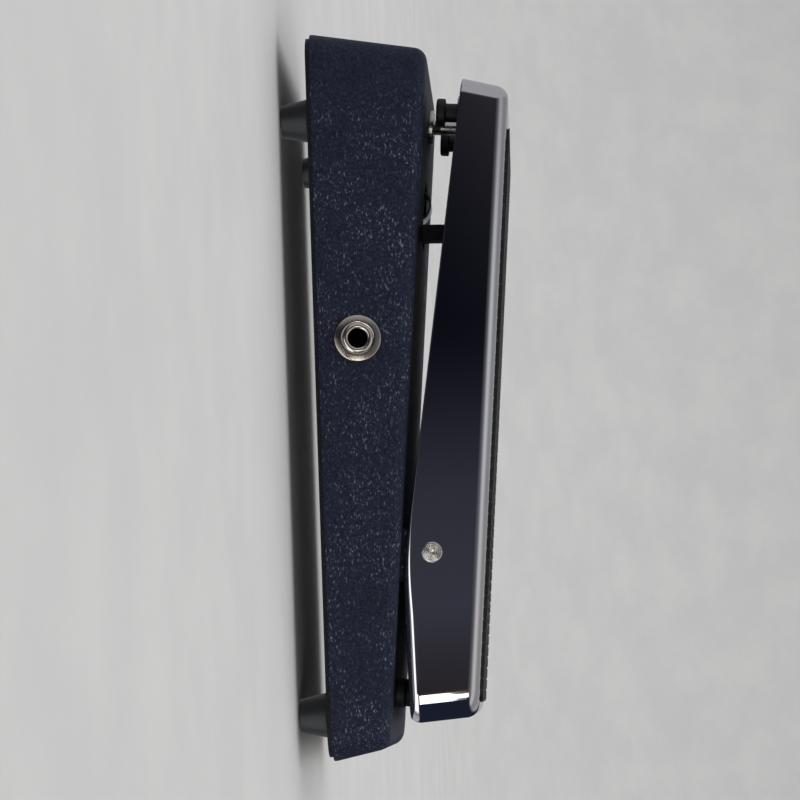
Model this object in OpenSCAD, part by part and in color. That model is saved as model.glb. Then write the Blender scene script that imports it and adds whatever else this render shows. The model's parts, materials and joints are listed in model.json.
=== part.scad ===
// Rocker-type foot volume pedal for an electric instrument.
// Millimetres. +X is the player's right, +Y the toe end and +Z up. The origin is on
// the floor under the middle of the housing. The treadle is drawn a little short of
// its toe-down stop. It tilts about an axis along X, and its toothed rack turns the
// pinion on the potentiometer's shaft.

/* [Housing] */
// Length over the lower rim
housing_l = 252; // [248:1:258]
// Width over the lower rim
housing_w = 102; // [100:1:106]
// Height of the top face at mid-length
top_mid_z = 41.6; // [41.4:0.1:41.8]
// Rise of the top face for each millimetre towards the toe
top_slope = 0.09; // [0.088:0.001:0.092]
// Thickness of the cast walls
housing_wall = 3; // [2.8:0.1:3.2]
// Draft of the two long sides, in degrees
side_draft = 7; // [6:0.5:8]
// Draft of the toe and heel faces, in degrees
end_draft = 9.5; // [8:0.5:11]
// Plan radius of the four corners
corner_r = 11; // [9:0.5:13]
// Rounding of the top edges
housing_edge_r = 5; // [4:0.5:6]
// Thickness of the steel bottom plate
plate_t = 1.5; // [1.2:0.1:1.8]

/* [Treadle] */
// Height of the treadle's top above the housing's top
treadle_rise = 29.2; // [28.9:0.1:29.5]
// Half width at the top edges
treadle_top_half_w = 41; // [40.5:0.1:41.5]
// Half width at the lower edges
treadle_low_half_w = 43; // [42.6:0.1:43.4]
// Thickness of the sides and ends
treadle_wall = 3.2; // [3:0.1:3.4]
// Thickness of the top
treadle_top_t = 4; // [3.8:0.1:4.2]
// Height of the lower edge at the bend
bend_z = 37; // [36.9:0.1:37.3]
// Angle of the lower edge from the bend to the toe, in degrees
lower_angle = 8.9; // [8.7:0.1:9]
// Thickness of the rubber mat
mat_t = 1; // [0.8:0.1:1.5]
// Spacing of the ribs across the mat
rib_pitch = 4; // [3:0.5:6]

/* [Pivot] */
// Position of the tilting axis along the pedal
pivot_y = -57.2; // [-57.6:0.1:-56.8]
// Height of the tilting axis
pivot_z = 47.1; // [46.9:0.1:47.3]
// Radius of the pivot shaft
shaft_r = 3.5; // [3:0.1:3.6]

/* [Rack and pinion] */
// Gear module
gear_m = 0.8; // [0.8:0.1:0.8]
// Teeth of the pinion
pinion_teeth = 14; // [14:1:14]
// Teeth that the rack would have as a full circle about the pivot
rack_circle_teeth = 290; // [290:1:290]
// Height of the potentiometer's shaft
pot_z = 32.5; // [32:0.1:32.8]

/* [Feet and stops] */
// Height of the rubber feet
foot_h = 10; // [9:0.5:11]
// Radius of a foot where it meets the plate
foot_base_r = 7.75; // [7:0.25:8.5]
// Radius of a foot at the floor
foot_tip_r = 5.7; // [5.5:0.1:6.5]
// Distance of the feet from the centre line
foot_x = 38.7; // [38:0.1:39]
// Position of the stops under the toe
toe_stop_y = 101.3; // [101:0.1:101.6]
// Distance of the rubber bumpers from the centre line
bumper_x = 22; // [20:0.5:24]

/* [Jacks] */
// Position of the jacks along the pedal
jack_y = 16; // [14:0.5:18]
// Height of the jacks where they come through the wall
jack_z = 24.8; // [24:0.1:25.5]
// Radius of the plug's hole
jack_hole_r = 3.2; // [3.2:0.05:3.3]

/* [Hidden] */
$fn = 48;

// fineness of everything inside a hull
HULL_FN = 32;
// clearance between a screw and its hole
FIT = 0.05;
// overlap that keeps cuts clean
EPS = 0.5;

slope_a = atan(top_slope);
rim_z = foot_h + plate_t;
lip = 1;
foot_front_y = 95.8;
foot_rear_y = -110.6;
// rounded discs at the housing's top corners
top_corner_r = 10;

function top_z(y) = top_mid_z + top_slope * y;
function half_w(z) = housing_w / 2 - (z - rim_z - lip) * tan(side_draft);
function half_l(z) = housing_l / 2 - (z - rim_z - lip) * tan(end_draft);
// how far a rounded edge's widest point lies inside the drafted face it blends into
function draft_gap(a) = housing_edge_r * (1 / cos(a) - 1);

// treadle ends, at the top and at the lower edge
treadle_toe_y = 105.8;
treadle_heel_y = -113.8;
treadle_low_toe_y = 108.8;
treadle_low_heel_y = -114.5;
treadle_toe_corner_r = 7;
treadle_heel_corner_r = 10;
treadle_edge_r = 5;
treadle_low_edge_r = 2.5;
bend_y = -64.5;
// the lower edge's rise from the bend to the heel corners
heel_lift = 0.45;
mat_toe_y = 91.2;
mat_heel_y = -108.2;
mat_half_w = 36;
function treadle_top_z(y) = top_z(y) + treadle_rise;
function lower_z(y) = bend_z + max(0, y - bend_y) * tan(lower_angle);
// distance between the housing's top and the underside of the treadle's top
hollow_h = treadle_rise * cos(slope_a) - treadle_top_t;

// lugs of the housing and bushes in them
lug_in_x = 32.6;
lug_out_x = 37.4;
lug_r = 6.5;
lug_foot_half = 9.5;
bush_r = 4.2;
bush_bore_r = shaft_r + 0.05;
bush_flange_r = 5.6;
bush_flange_t = 0.7;
// ribs of the treadle that clamp the shaft
clamp_x = 28;
clamp_t = 6;
clamp_r = 7;
shaft_half_l = 43.2;
grub_r = 2;

// gears
pinion_pitch_r = gear_m * pinion_teeth / 2;
pinion_tip_r = pinion_pitch_r + gear_m;
pinion_root_r = pinion_pitch_r - 1.25 * gear_m;
rack_pitch_r = gear_m * rack_circle_teeth / 2;
rack_tip_r = rack_pitch_r - 0.35;
rack_root_r = rack_pitch_r + 1.05;
rack_back_r = 121.7;
rack_t = 5;
backlash = 0.24;
pressure_a = 20;
mesh_r = rack_pitch_r - pinion_pitch_r;
mesh_a = asin((pot_z - pivot_z) / mesh_r);
pot_y = pivot_y + mesh_r * cos(mesh_a);
tooth_a = 360 / rack_circle_teeth;
rack_low_a = mesh_a - 5.72 * tooth_a;
rack_high_a = 11.2;
rack_flange_y = 59.5;
rack_flange = [22, 16, 2.5];
rack_screw_x = 7.5;

// spring strip behind the rack
strip_t = 0.8;
strip_w = 8;
strip_y = 71.9;
strip_z = 43.2;
strip_r = 7.2;
strip_foot_z = 42.6;
strip_foot_y = 92;
strip_screw_y = 88;
slot_y = [56.2, 79.8];
slot_half_w = 8;

// potentiometer, measured along X
pot_r = 8.5;
pot_x = [13, 21];
pot_bush_x = 7;
pot_bush_r = 3.5;
pot_shaft_r = 3;
bracket_x = 11.5;
bracket_t = 1.5;
bracket_half_w = 10;
bracket_flange_x = 33;
bracket_screw = [28, 6.5];
bracket_top = (top_z(pot_y) - pot_z) * cos(slope_a) - housing_wall;
hub_x = [-9, -3.5];
hub_r = 5.5;
gear_half_w = 3.5;
m3_r = 1.5;

// heights above the housing's top, square to it
bumper_gap = 3.45;
bumper_head_r = 5;
bumper_head_t = 3.2;
bumper_neck_r = 3.35;
bumper_neck_top = 18;
bumper_boss_low = 11;
bumper_boss_r = 6.2;
stud_r = 2.75;
stud_top = 12.7;
stop_pad_low = 16.15;
stop_pad_t = 2.2;
stop_pad_r = 3.5;
stop_boss_r = 6.5;
collar_r = 6.2;
collar_t = 1.7;
heel_bumper_y = -104;
heel_bumper_h = 3.3;
heel_boss_low = 8.75;
heel_boss_r = 6;
heel_stem_r = 2.2;

// jack, measured along its axis from the outer face of the wall
jack_wall_x = half_w(jack_z);
sleeve_r = 5.2;
sleeve_out = 2.4;
sleeve_in = -9.6;
nut_r = 8;
nut_t = 1.8;
washer_t = 0.4;
jack_block = 15;
jack_block_in = -31;
jack_bore_in = -29;
contact_t = 0.4;
contact_w = 2.6;
lug_end = -36;

// ---------------------------------------------------------------- helpers

// disc with a rounded upper edge, its top face at z = 0
module puck(r, edge) {
    rotate_extrude($fn = HULL_FN) {
        translate([0, -edge]) square([r - edge, edge]);
        translate([r - edge, -edge]) intersection() {
            circle(edge, $fn = HULL_FN);
            square(edge);
        }
    }
}

module rounded_rect(w, l, r) {
    square([w - 2 * r, l], center = true);
    square([w, l - 2 * r], center = true);
    for (x = [-1, 1], y = [-1, 1])
        translate([x * (w / 2 - r), y * (l / 2 - r)]) circle(r);
}

// children stand square on the housing's top at x, y
module on_top(x, y) {
    translate([x, y, top_z(y)]) rotate([slope_a, 0, 0]) children();
}

// children's z axis runs along X, centred on the tilting axis
module on_pivot(x) {
    translate([x, pivot_y, pivot_z]) rotate([0, 90, 0]) children();
}

// children's z axis runs along X, centred on the potentiometer's axis
module on_pot(x) {
    translate([x, pot_y, pot_z]) rotate([0, 90, 0]) children();
}

// a drawing in the plane of Y and Z becomes a plate of thickness t, centred on x = 0
module side_plate(t) {
    rotate([90, 0, 90]) linear_extrude(t, center = true) children();
}

// hollow round bar
module tube(r, bore, h) {
    difference() {
        cylinder(r = r, h = h);
        translate([0, 0, -EPS]) cylinder(r = bore, h = h + 2 * EPS);
    }
}

// hexagon of a nut, flat to flat af
module hex_nut(af, bore, h) {
    difference() {
        cylinder(r = af / 2 / cos(30), h = h, $fn = 6);
        translate([0, 0, -EPS]) cylinder(r = bore, h = h + 2 * EPS);
    }
}

// pan head screw, its head's flat face at z = 0 and its shank along +z
module pan_screw(shank_r, shank_l, head_r, head_t) {
    difference() {
        union() {
            cylinder(r = shank_r, h = shank_l);
            translate([0, 0, -head_t]) cylinder(r = head_r, h = head_t);
        }
        for (a = [0, 90]) rotate(a)
            translate([0, 0, -head_t])
                cube([head_r * 1.2, head_r * 0.24, head_t], center = true);
    }
}

function unit(v) = v / norm(v);
function spline_point(a, b, c, d, t) =
    0.5 * (2 * b + (c - a) * t + (2 * a - 5 * b + 4 * c - d) * t * t
        + (3 * b - 3 * c + d - a) * t * t * t);
function spline(p, steps) = [
    for (i = [0 : len(p) - 2], s = [0 : steps - 1])
        spline_point(p[max(i - 1, 0)], p[i], p[i + 1], p[min(i + 2, len(p) - 1)], s / steps),
    p[len(p) - 1]
];

// eight-sided wire along points, none of whose stretches is upright
module wire(points, r) {
    p = spline(points, 4);
    n = len(p);
    sides = 8;
    ring = [for (i = [0 : n - 1])
        let (t = unit(p[min(i + 1, n - 1)] - p[max(i - 1, 0)]),
             s = unit(cross(t, [0, 0, 1])), u = cross(s, t))
        for (k = [0 : sides - 1])
            p[i] + r * (cos(k * 360 / sides) * s + sin(k * 360 / sides) * u)];
    walls = [for (i = [0 : n - 2], k = [0 : sides - 1])
        let (a = i * sides + k, b = i * sides + (k + 1) % sides)
        each [[a, a + sides, b], [b, a + sides, b + sides]]];
    caps = [[for (k = [0 : sides - 1]) k], [for (k = [sides - 1 : -1 : 0]) (n - 1) * sides + k]];
    polyhedron(ring, concat(walls, caps), convexity = 6);
}

// ---------------------------------------------------------------- housing

module housing_form(inset) {
    hull() {
        for (x = [-1, 1], y = [-1, 1]) {
            translate([x * (housing_w / 2 - corner_r), y * (housing_l / 2 - corner_r),
                    rim_z - (inset > 0 ? lip : 0)])
                cylinder(r = corner_r - inset, h = inset > 0 ? 2 * lip : lip, $fn = HULL_FN);
            end_z = top_z(y * (housing_l / 2 - corner_r)) - housing_edge_r;
            corner_y = y * (half_l(end_z) - draft_gap(end_draft) - top_corner_r);
            side_z = top_z(corner_y) - housing_edge_r;
            corner_x = x * (half_w(side_z) - draft_gap(side_draft) - top_corner_r);
            translate([corner_x, corner_y, top_z(corner_y)])
                rotate([slope_a, 0, 0]) translate([0, 0, -inset])
                    puck(top_corner_r - inset, housing_edge_r - inset);
        }
    }
}

module foot_places() {
    for (x = [-foot_x, foot_x], y = [foot_rear_y, foot_front_y])
        translate([x, y, 0]) children();
}

// one ear beside the treadle's wall, with a foot in the housing's top
module pivot_lug() {
    drop = pivot_z - top_z(pivot_y) + housing_wall / 2;
    translate([(lug_in_x + lug_out_x) / 2, pivot_y, pivot_z])
        side_plate(lug_out_x - lug_in_x) {
            circle(lug_r);
            polygon([[-lug_foot_half, -drop], [lug_foot_half, -drop],
                    [lug_r - 0.2, 1], [0.2 - lug_r, 1]]);
        }
}

module housing() color("#17181d") difference() {
    union() {
        difference() {
            housing_form(0);
            housing_form(housing_wall);
        }
        intersection() {
            housing_form(0);
            union() {
                translate([0, 0, rim_z]) foot_places() cylinder(r = 5, h = 60);
                translate([0, strip_screw_y, strip_foot_z]) cylinder(r = 4.5, h = 20);
            }
        }
        pivot_lug();
        mirror([1, 0, 0]) pivot_lug();
    }
    translate([0, 0, rim_z - EPS]) foot_places() cylinder(r = 2, h = 16);
    on_pivot(-housing_w / 2) cylinder(r = bush_r + 0.01, h = housing_w);
    jack(-1) translate([0, 0, -8]) cylinder(r = sleeve_r + FIT, h = 16);
    jack(1) translate([0, 0, -8]) cylinder(r = sleeve_r + FIT, h = 16);
    on_top(0, (slot_y[0] + slot_y[1]) / 2) translate([0, 0, -5]) linear_extrude(10)
        rounded_rect(2 * slot_half_w, slot_y[1] - slot_y[0], 2);
    on_top(0, toe_stop_y) translate([0, 0, -5]) cylinder(r = stud_r + FIT, h = 10);
    translate([0, strip_screw_y, strip_foot_z - EPS]) cylinder(r = m3_r + FIT, h = 5);
    for (x = [-bumper_x, bumper_x])
        on_top(x, heel_bumper_y) translate([0, 0, -5]) cylinder(r = heel_stem_r + FIT, h = 10);
    bracket_screw_places() {
        translate([0, 0, -5]) cylinder(r = m3_r + FIT, h = 10);
        translate([0, 0, -1.55]) cylinder(r1 = m3_r + FIT, r2 = 3.15, h = 1.6);
    }
}

module bottom_plate() color("#202226") difference() {
    translate([0, 0, foot_h]) linear_extrude(plate_t)
        rounded_rect(housing_w - 2.6, housing_l - 2.6, corner_r - 1.3);
    foot_places() cylinder(r = 2.2, h = 20);
}

module foot(x, y) {
    recess_r = 3.9;
    recess_h = 6.6;
    tip_edge = 0.9;
    color("#1b1d20") translate([x, y, 0]) rotate_extrude()
        polygon([[recess_r, 0], [foot_tip_r - tip_edge, 0],
                for (a = [-60 : 30 : 0]) [foot_tip_r - tip_edge * (1 - cos(a)),
                    tip_edge * (1 + sin(a))],
                [foot_base_r - 0.3, foot_h - 1], [foot_base_r, foot_h - 0.5], [foot_base_r, foot_h],
                [2.2, foot_h], [2.2, recess_h], [recess_r, recess_h]]);
}

module foot_screws() color("#b9babd") foot_places()
    translate([0, 0, 5.8]) pan_screw(1.95, 19, 3.3, 2.3);

module foot_washers() color("#a9abae") foot_places()
    translate([0, 0, 5.8]) tube(3.8, 2.05, 0.8);

// ---------------------------------------------------------------- treadle

module treadle_form(wall, top_t, drop) {
    hull() for (x = [-1, 1]) {
        for (end = [[treadle_toe_y, -1, treadle_toe_corner_r],
                    [treadle_heel_y, 1, treadle_heel_corner_r]]) {
            y = end[0] + end[1] * end[2];
            translate([x * (treadle_top_half_w - end[2]), y, treadle_top_z(y)])
                rotate([slope_a, 0, 0]) translate([0, 0, -top_t])
                    puck(end[2] - wall, max(treadle_edge_r - wall, 1));
        }
        toe_y = treadle_low_toe_y - treadle_toe_corner_r;
        translate([x * (treadle_low_half_w - treadle_toe_corner_r), toe_y, lower_z(toe_y) - drop])
            rotate([lower_angle, 0, 0]) mirror([0, 0, 1])
                puck(treadle_toe_corner_r - wall, treadle_low_edge_r);
        translate([x * (treadle_low_half_w - treadle_heel_corner_r),
                treadle_low_heel_y + treadle_heel_corner_r, bend_z + heel_lift - drop])
            mirror([0, 0, 1]) puck(treadle_heel_corner_r - wall, treadle_low_edge_r);
        translate([x * (treadle_low_half_w - wall - treadle_low_edge_r), bend_y,
                bend_z + treadle_low_edge_r - drop])
            sphere(treadle_low_edge_r, $fn = HULL_FN);
    }
}

module treadle_bosses() {
    for (x = [-bumper_x, bumper_x]) {
        on_top(x, toe_stop_y) translate([0, 0, bumper_boss_low]) cylinder(r = bumper_boss_r, h = 30);
        on_top(x, heel_bumper_y) translate([0, 0, heel_boss_low]) cylinder(r = heel_boss_r, h = 30);
    }
    on_top(0, toe_stop_y) translate([0, 0, stop_pad_low + stop_pad_t])
        cylinder(r = stop_boss_r, h = 30);
    for (x = [-clamp_x, clamp_x]) translate([x, pivot_y, pivot_z]) side_plate(clamp_t) {
        circle(clamp_r);
        polygon([[-clamp_r, 0], [clamp_r, 0], [clamp_r + 3, 20], [-clamp_r - 3, 20]]);
    }
}

module treadle() color("#c9ccd2") difference() {
    union() {
        difference() {
            treadle_form(0, 0, 0);
            treadle_form(treadle_wall, treadle_top_t, 7);
        }
        intersection() {
            treadle_form(0, 0, 0);
            treadle_bosses();
        }
    }
    on_pivot(-50) cylinder(r = shaft_r + 0.02, h = 100);
    for (x = [-clamp_x, clamp_x])
        translate([x, pivot_y, pivot_z - shaft_r - 8]) cylinder(r = grub_r + FIT, h = 8);
    for (x = [-bumper_x, bumper_x])
        on_top(x, toe_stop_y) cylinder(r = bumper_neck_r + FIT, h = bumper_neck_top + FIT);
    for (x = [-rack_screw_x, rack_screw_x])
        on_top(x, rack_flange_y) cylinder(r = m3_r + FIT, h = hollow_h + 3);
}

// ribbed slab with rounded corners
module treadle_mat() color("#101113") {
    mat_l = (mat_toe_y - mat_heel_y) / cos(slope_a);
    ribs = floor(mat_l / rib_pitch);
    groove = 0.25;
    land = rib_pitch * 0.8;
    mid_y = (mat_toe_y + mat_heel_y) / 2;
    translate([0, mid_y, treadle_top_z(mid_y)]) rotate([slope_a, 0, 0]) intersection() {
        linear_extrude(mat_t) rounded_rect(2 * mat_half_w, mat_l, 5);
        side_plate(3 * mat_half_w) union() {
            translate([-mat_l, 0]) square([2 * mat_l, mat_t - groove]);
            for (i = [0 : ribs - 1])
                translate([(i - (ribs - 1) / 2) * rib_pitch - land / 2, 0]) square([land, mat_t]);
        }
    }
}

module pivot_shaft() color("#b8b4aa") on_pivot(0) rotate_extrude()
    polygon([[0, 0.9 - shaft_half_l], [1, -shaft_half_l], [shaft_r - 0.5, -shaft_half_l],
            [shaft_r, 0.5 - shaft_half_l], [shaft_r, shaft_half_l - 0.5],
            [shaft_r - 0.5, shaft_half_l], [1, shaft_half_l], [0, shaft_half_l - 0.9]]);

module pivot_set_screws() color("#3a3b3e") for (x = [-clamp_x, clamp_x])
    translate([x, pivot_y, pivot_z - shaft_r - 4]) difference() {
        cylinder(r = grub_r, h = 4);
        translate([0, 0, -EPS]) cylinder(r = 1.1, h = 2.5, $fn = 6);
    }

module pivot_bush() color("#9c7a45") {
    on_pivot(lug_in_x) tube(bush_r, bush_bore_r, lug_out_x - lug_in_x);
    on_pivot(lug_out_x) tube(bush_flange_r, bush_bore_r, bush_flange_t);
}

// ---------------------------------------------------------------- stops

module toe_bumper(x) color("#141517") on_top(x, toe_stop_y) {
    translate([0, 0, bumper_gap]) rotate_extrude()
        polygon([[0, 0], [bumper_head_r - 0.8, 0], [bumper_head_r, 0.8],
                [bumper_head_r, bumper_head_t - 0.5], [bumper_head_r - 0.5, bumper_head_t],
                [bumper_neck_r, bumper_head_t],
                [bumper_neck_r, bumper_neck_top - bumper_gap],
                [0, bumper_neck_top - bumper_gap]]);
}

module heel_bumper(x) color("#141517") on_top(x, heel_bumper_y) {
    retainer = housing_wall + FIT;
    rotate_extrude()
        polygon([[0, -retainer - 1.6], [heel_stem_r - 0.4, -retainer - 1.6],
                [heel_stem_r + 0.8, -retainer], [heel_stem_r, -retainer], [heel_stem_r, 0],
                [bumper_head_r, 0], [bumper_head_r, heel_bumper_h - 0.8],
                [bumper_head_r - 0.8, heel_bumper_h], [0, heel_bumper_h]]);
}

module toe_stop_stud() color("#d2cdbf") on_top(0, toe_stop_y) translate([0, 0, -8])
    rotate_extrude() polygon([[0, 0], [stud_r - 0.5, 0], [stud_r, 0.5],
            [stud_r, stud_top + 7.4], [stud_r - 0.6, stud_top + 8], [0, stud_top + 8]]);

module toe_stop_collar() color("#c9c3b2") on_top(0, toe_stop_y)
    tube(collar_r, stud_r + FIT, collar_t);

module toe_stop_locknut() color("#a9abae") on_top(0, toe_stop_y)
    translate([0, 0, -housing_wall - 3]) hex_nut(9, stud_r + FIT, 3);

module toe_stop_pad() color("#141517") on_top(0, toe_stop_y)
    translate([0, 0, stop_pad_low]) cylinder(r = stop_pad_r, h = stop_pad_t);

// ---------------------------------------------------------------- rack and spring

// polar angle of an involute flank from its start on the base circle, in degrees
function involute(base_r, r) = r <= base_r ? 0
    : let (a = acos(base_r / r)) tan(a) * 180 / PI - a;

// half angle that a tooth fills at radius r, from its width on the pitch circle
function flank_a(pitch_r, width, r) = let (base_r = pitch_r * cos(pressure_a))
    width / 2 / pitch_r * 180 / PI + involute(base_r, pitch_r) - involute(base_r, r);

module tooth(pitch_r, width, low_r, high_r) {
    steps = 5;
    radii = [for (i = [0 : steps]) low_r + (high_r - low_r) * i / steps];
    polygon([
        for (r = radii) r * [cos(flank_a(pitch_r, width, r)), sin(flank_a(pitch_r, width, r))],
        for (i = [steps : -1 : 0]) let (r = radii[i])
            r * [cos(flank_a(pitch_r, width, r)), -sin(flank_a(pitch_r, width, r))]
    ]);
}

// slice of the plane between two angles
module sector(r, from, to) {
    polygon([[0, 0], for (i = [0 : 4]) let (a = from + (to - from) * i / 4)
        r * [cos(a), sin(a)]]);
}

module rack() color("#26282b") {
    translate([0, pivot_y, pivot_z]) side_plate(rack_t) difference() {
        intersection() {
            difference() {
                circle(rack_back_r, $fn = 180);
                circle(rack_tip_r, $fn = 180);
            }
            sector(2 * rack_back_r, rack_low_a, rack_high_a);
        }
        for (i = [-5 : 2]) rotate(mesh_a + i * tooth_a)
            tooth(rack_pitch_r, PI * gear_m / 2 + backlash / 2, rack_tip_r - 0.3, rack_root_r);
    }
    on_top(0, rack_flange_y) translate([0, 0, hollow_h - rack_flange[2]]) difference() {
        translate([-rack_flange[0] / 2, -rack_flange[1] / 2, 0]) cube(rack_flange);
        for (x = [-rack_screw_x, rack_screw_x])
            translate([x, 0, -EPS]) cylinder(r = m3_r + FIT, h = 5);
    }
}

module rack_screws() color("#a9abae") for (x = [-rack_screw_x, rack_screw_x])
    on_top(x, rack_flange_y) translate([0, 0, hollow_h - rack_flange[2]])
        pan_screw(m3_r, rack_flange[2] + 2.9, 2.7, 1.8);

// strip bent over the slot, with a leg that presses on the rack's back
module tension_spring() color("#c6c8cb") difference() {
    side_plate(strip_w) {
        translate([strip_y, strip_z]) intersection() {
            difference() {
                circle(strip_r);
                circle(strip_r - strip_t);
            }
            translate([-10, 0]) square([20, 10]);
        }
        translate([strip_y - strip_r, strip_z - 8]) square([strip_t, 8]);
        translate([strip_y + strip_r - strip_t, strip_foot_z - strip_t])
            square([strip_t, strip_z - strip_foot_z + strip_t]);
        translate([strip_y + strip_r - strip_t, strip_foot_z - strip_t])
            square([strip_foot_y - strip_y - strip_r + strip_t, strip_t]);
    }
    translate([0, strip_screw_y, strip_foot_z - 2]) cylinder(r = m3_r + FIT, h = 4);
}

module tension_spring_screw() color("#a9abae")
    translate([0, strip_screw_y, strip_foot_z - strip_t]) pan_screw(m3_r, 5, 2.7, 1.8);

// ---------------------------------------------------------------- potentiometer

module pinion_gear() color("#d9d6c8") difference() {
    union() {
        on_pot(-gear_half_w) linear_extrude(2 * gear_half_w) {
            circle(pinion_root_r);
            for (i = [0 : pinion_teeth - 1]) rotate(90 + mesh_a + i * 360 / pinion_teeth)
                tooth(pinion_pitch_r, PI * gear_m / 2 - backlash / 2, pinion_root_r - 0.5,
                    pinion_tip_r);
        }
        on_pot(hub_x[0]) cylinder(r = hub_r, h = hub_x[1] - hub_x[0]);
    }
    on_pot(-20) cylinder(r = pot_shaft_r + 0.02, h = 40);
    pinion_screw_place() cylinder(r = m3_r + FIT, h = 10);
}

module pinion_screw_place() {
    translate([(hub_x[0] + hub_x[1]) / 2, pot_y, pot_z]) rotate([60, 0, 0]) children();
}

module pinion_set_screw() color("#3a3b3e") pinion_screw_place()
    translate([0, 0, pot_shaft_r]) difference() {
        cylinder(r = m3_r, h = hub_r - pot_shaft_r + 0.3);
        translate([0, 0, 1.2]) cylinder(r = 0.8, h = 3, $fn = 6);
    }

module pot_shaft() color("#b9bbbf") on_pot(hub_x[0] - 0.5)
    cylinder(r = pot_shaft_r, h = pot_x[1] - hub_x[0] - 2);

// children stand in a frame on the potentiometer's axis, parallel to the housing's top
module pot_frame() {
    translate([0, pot_y, pot_z]) rotate([slope_a, 0, 0]) children();
}

module pot_body() color("#8f9297") difference() {
    union() {
        on_pot(pot_x[0]) cylinder(r = pot_r, h = pot_x[1] - pot_x[0]);
        on_pot(pot_bush_x) cylinder(r = pot_bush_r, h = pot_x[0] - pot_bush_x + EPS);
        pot_frame() translate([pot_x[0], -12, -7.5]) cube([2.4, 8, 15]);
    }
    on_pot(0) cylinder(r = pot_shaft_r + 0.05, h = pot_x[1] - 1.5);
    pot_lug_places() cube([contact_t + 2 * FIT, 8, 2 + 2 * FIT], center = true);
}

module pot_lug_places() {
    pot_frame() for (z = [-5, 0, 5]) translate([pot_x[0] + 1.2, -12, z]) children();
}

module pot_lugs() color("#c9c6bb") pot_lug_places() translate([0, -0.5, 0])
    cube([contact_t, 7, 2], center = true);

module pot_washer() color("#a9abae") on_pot(bracket_x - 0.6) tube(5.8, pot_bush_r + FIT, 0.6);

module pot_nut() color("#b9babd") on_pot(bracket_x - 2.6) hex_nut(10, pot_bush_r + FIT, 2);

module pot_bracket() color("#9a9da2") pot_frame() difference() {
    union() {
        translate([bracket_x, -bracket_half_w, -9]) cube([bracket_t, 2 * bracket_half_w,
            bracket_top + 9]);
        translate([bracket_x, -bracket_half_w, bracket_top - bracket_t])
            cube([bracket_flange_x - bracket_x, 2 * bracket_half_w, bracket_t]);
    }
    rotate([0, 90, 0]) cylinder(r = pot_bush_r + FIT, h = 20);
    for (y = [-bracket_screw[1], bracket_screw[1]])
        translate([bracket_screw[0], y, 0]) cylinder(r = m3_r + FIT, h = 20);
}

// children stand on the housing's top, over the flange of the bracket
module bracket_screw_places() {
    pot_frame() for (y = [-bracket_screw[1], bracket_screw[1]])
        translate([bracket_screw[0], y, bracket_top + housing_wall]) children();
}

module pot_bracket_screws() color("#2c2d30") bracket_screw_places() difference() {
    union() {
        translate([0, 0, -8]) cylinder(r = m3_r, h = 7);
        translate([0, 0, -1.5]) cylinder(r1 = m3_r, r2 = 3, h = 1.5);
    }
    for (a = [0, 90]) rotate(a) cube([3.2, 0.7, 1.2], center = true);
}

module pot_bracket_nuts() color("#a9abae") bracket_screw_places()
    translate([0, 0, -housing_wall - bracket_t - 2.2]) hex_nut(5.5, m3_r + FIT, 2.2);

// ---------------------------------------------------------------- jacks

// children's z axis leaves the wall at the jack, on the left (-1) or the right (1)
module jack(side) {
    mirror([side > 0 ? 1 : 0, 0, 0]) translate([-jack_wall_x, jack_y, jack_z])
        rotate([0, side_draft - 90, 0]) children();
}

module jack_body(side) color("#1a1b1d") jack(side) difference() {
    translate([0, 0, jack_block_in]) linear_extrude(-housing_wall - FIT - jack_block_in)
        rounded_rect(jack_block, jack_block, 1.5);
    translate([0, 0, jack_bore_in]) cylinder(r = jack_hole_r + 0.2, h = 30);
    translate([0, 0, sleeve_in]) cylinder(r = sleeve_r + FIT, h = 20);
    translate([2, -contact_w / 2 - 0.2, -28]) cube([10, contact_w + 0.4, 14]);
    translate([5.2, -contact_w / 2 - 0.2, jack_block_in - EPS]) cube([1.4, contact_w + 0.4, 5]);
}

module jack_sleeve(side) color("#c4bfb4") jack(side) rotate_extrude()
    polygon([[jack_hole_r, sleeve_in], [sleeve_r, sleeve_in], [sleeve_r, sleeve_out - 0.7],
            [sleeve_r - 0.25, sleeve_out - 0.2], [sleeve_r - 0.8, sleeve_out],
            [jack_hole_r + 0.4, sleeve_out], [jack_hole_r, sleeve_out - 0.4]]);

module jack_washer(side) color("#26272a") jack(side)
    translate([0, 0, FIT]) tube(nut_r + 0.25, sleeve_r + FIT, washer_t - FIT);

module jack_nut(side) color("#c9c4ba") jack(side) translate([0, 0, washer_t]) {
    bore = sleeve_r + 0.08;
    crown_r = nut_r - 1.6;
    rotate_extrude()
        polygon([[bore, 0], [nut_r, 0], [nut_r, 0.5],
                for (a = [0 : 15 : 90]) [crown_r + 1.6 * cos(a), 0.5 + (nut_t - 0.5) * sin(a)],
                [bore + 0.5, nut_t], [bore, nut_t - 0.6]]);
}

// tip spring in the block's slot, and two lugs on its rear face
module jack_contacts(side) color("#b8a36a") jack(side) {
    rotate([90, 0, 0]) linear_extrude(contact_w, center = true)
        polygon([[6.1, lug_end], [6.1, -27], [3.7, -22], [5, -16], [5 - contact_t, -16],
                [3.7 - contact_t * 0.9, -22], [6.1 - contact_t, -27.2], [6.1 - contact_t, lug_end]]);
    for (y = [-4.5, 4.5]) translate([-5, y - contact_w / 2, lug_end])
        cube([contact_t, contact_w, jack_block_in - lug_end]);
}

// ---------------------------------------------------------------- wires

wire_r = 0.7;
// end of a contact of a jack, from its own axes
function jack_point(side, x, y) = [
    side * (jack_wall_x + lug_end * cos(side_draft) - x * sin(side_draft)),
    jack_y + y,
    jack_z + lug_end * sin(side_draft) + x * cos(side_draft)
];
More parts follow.
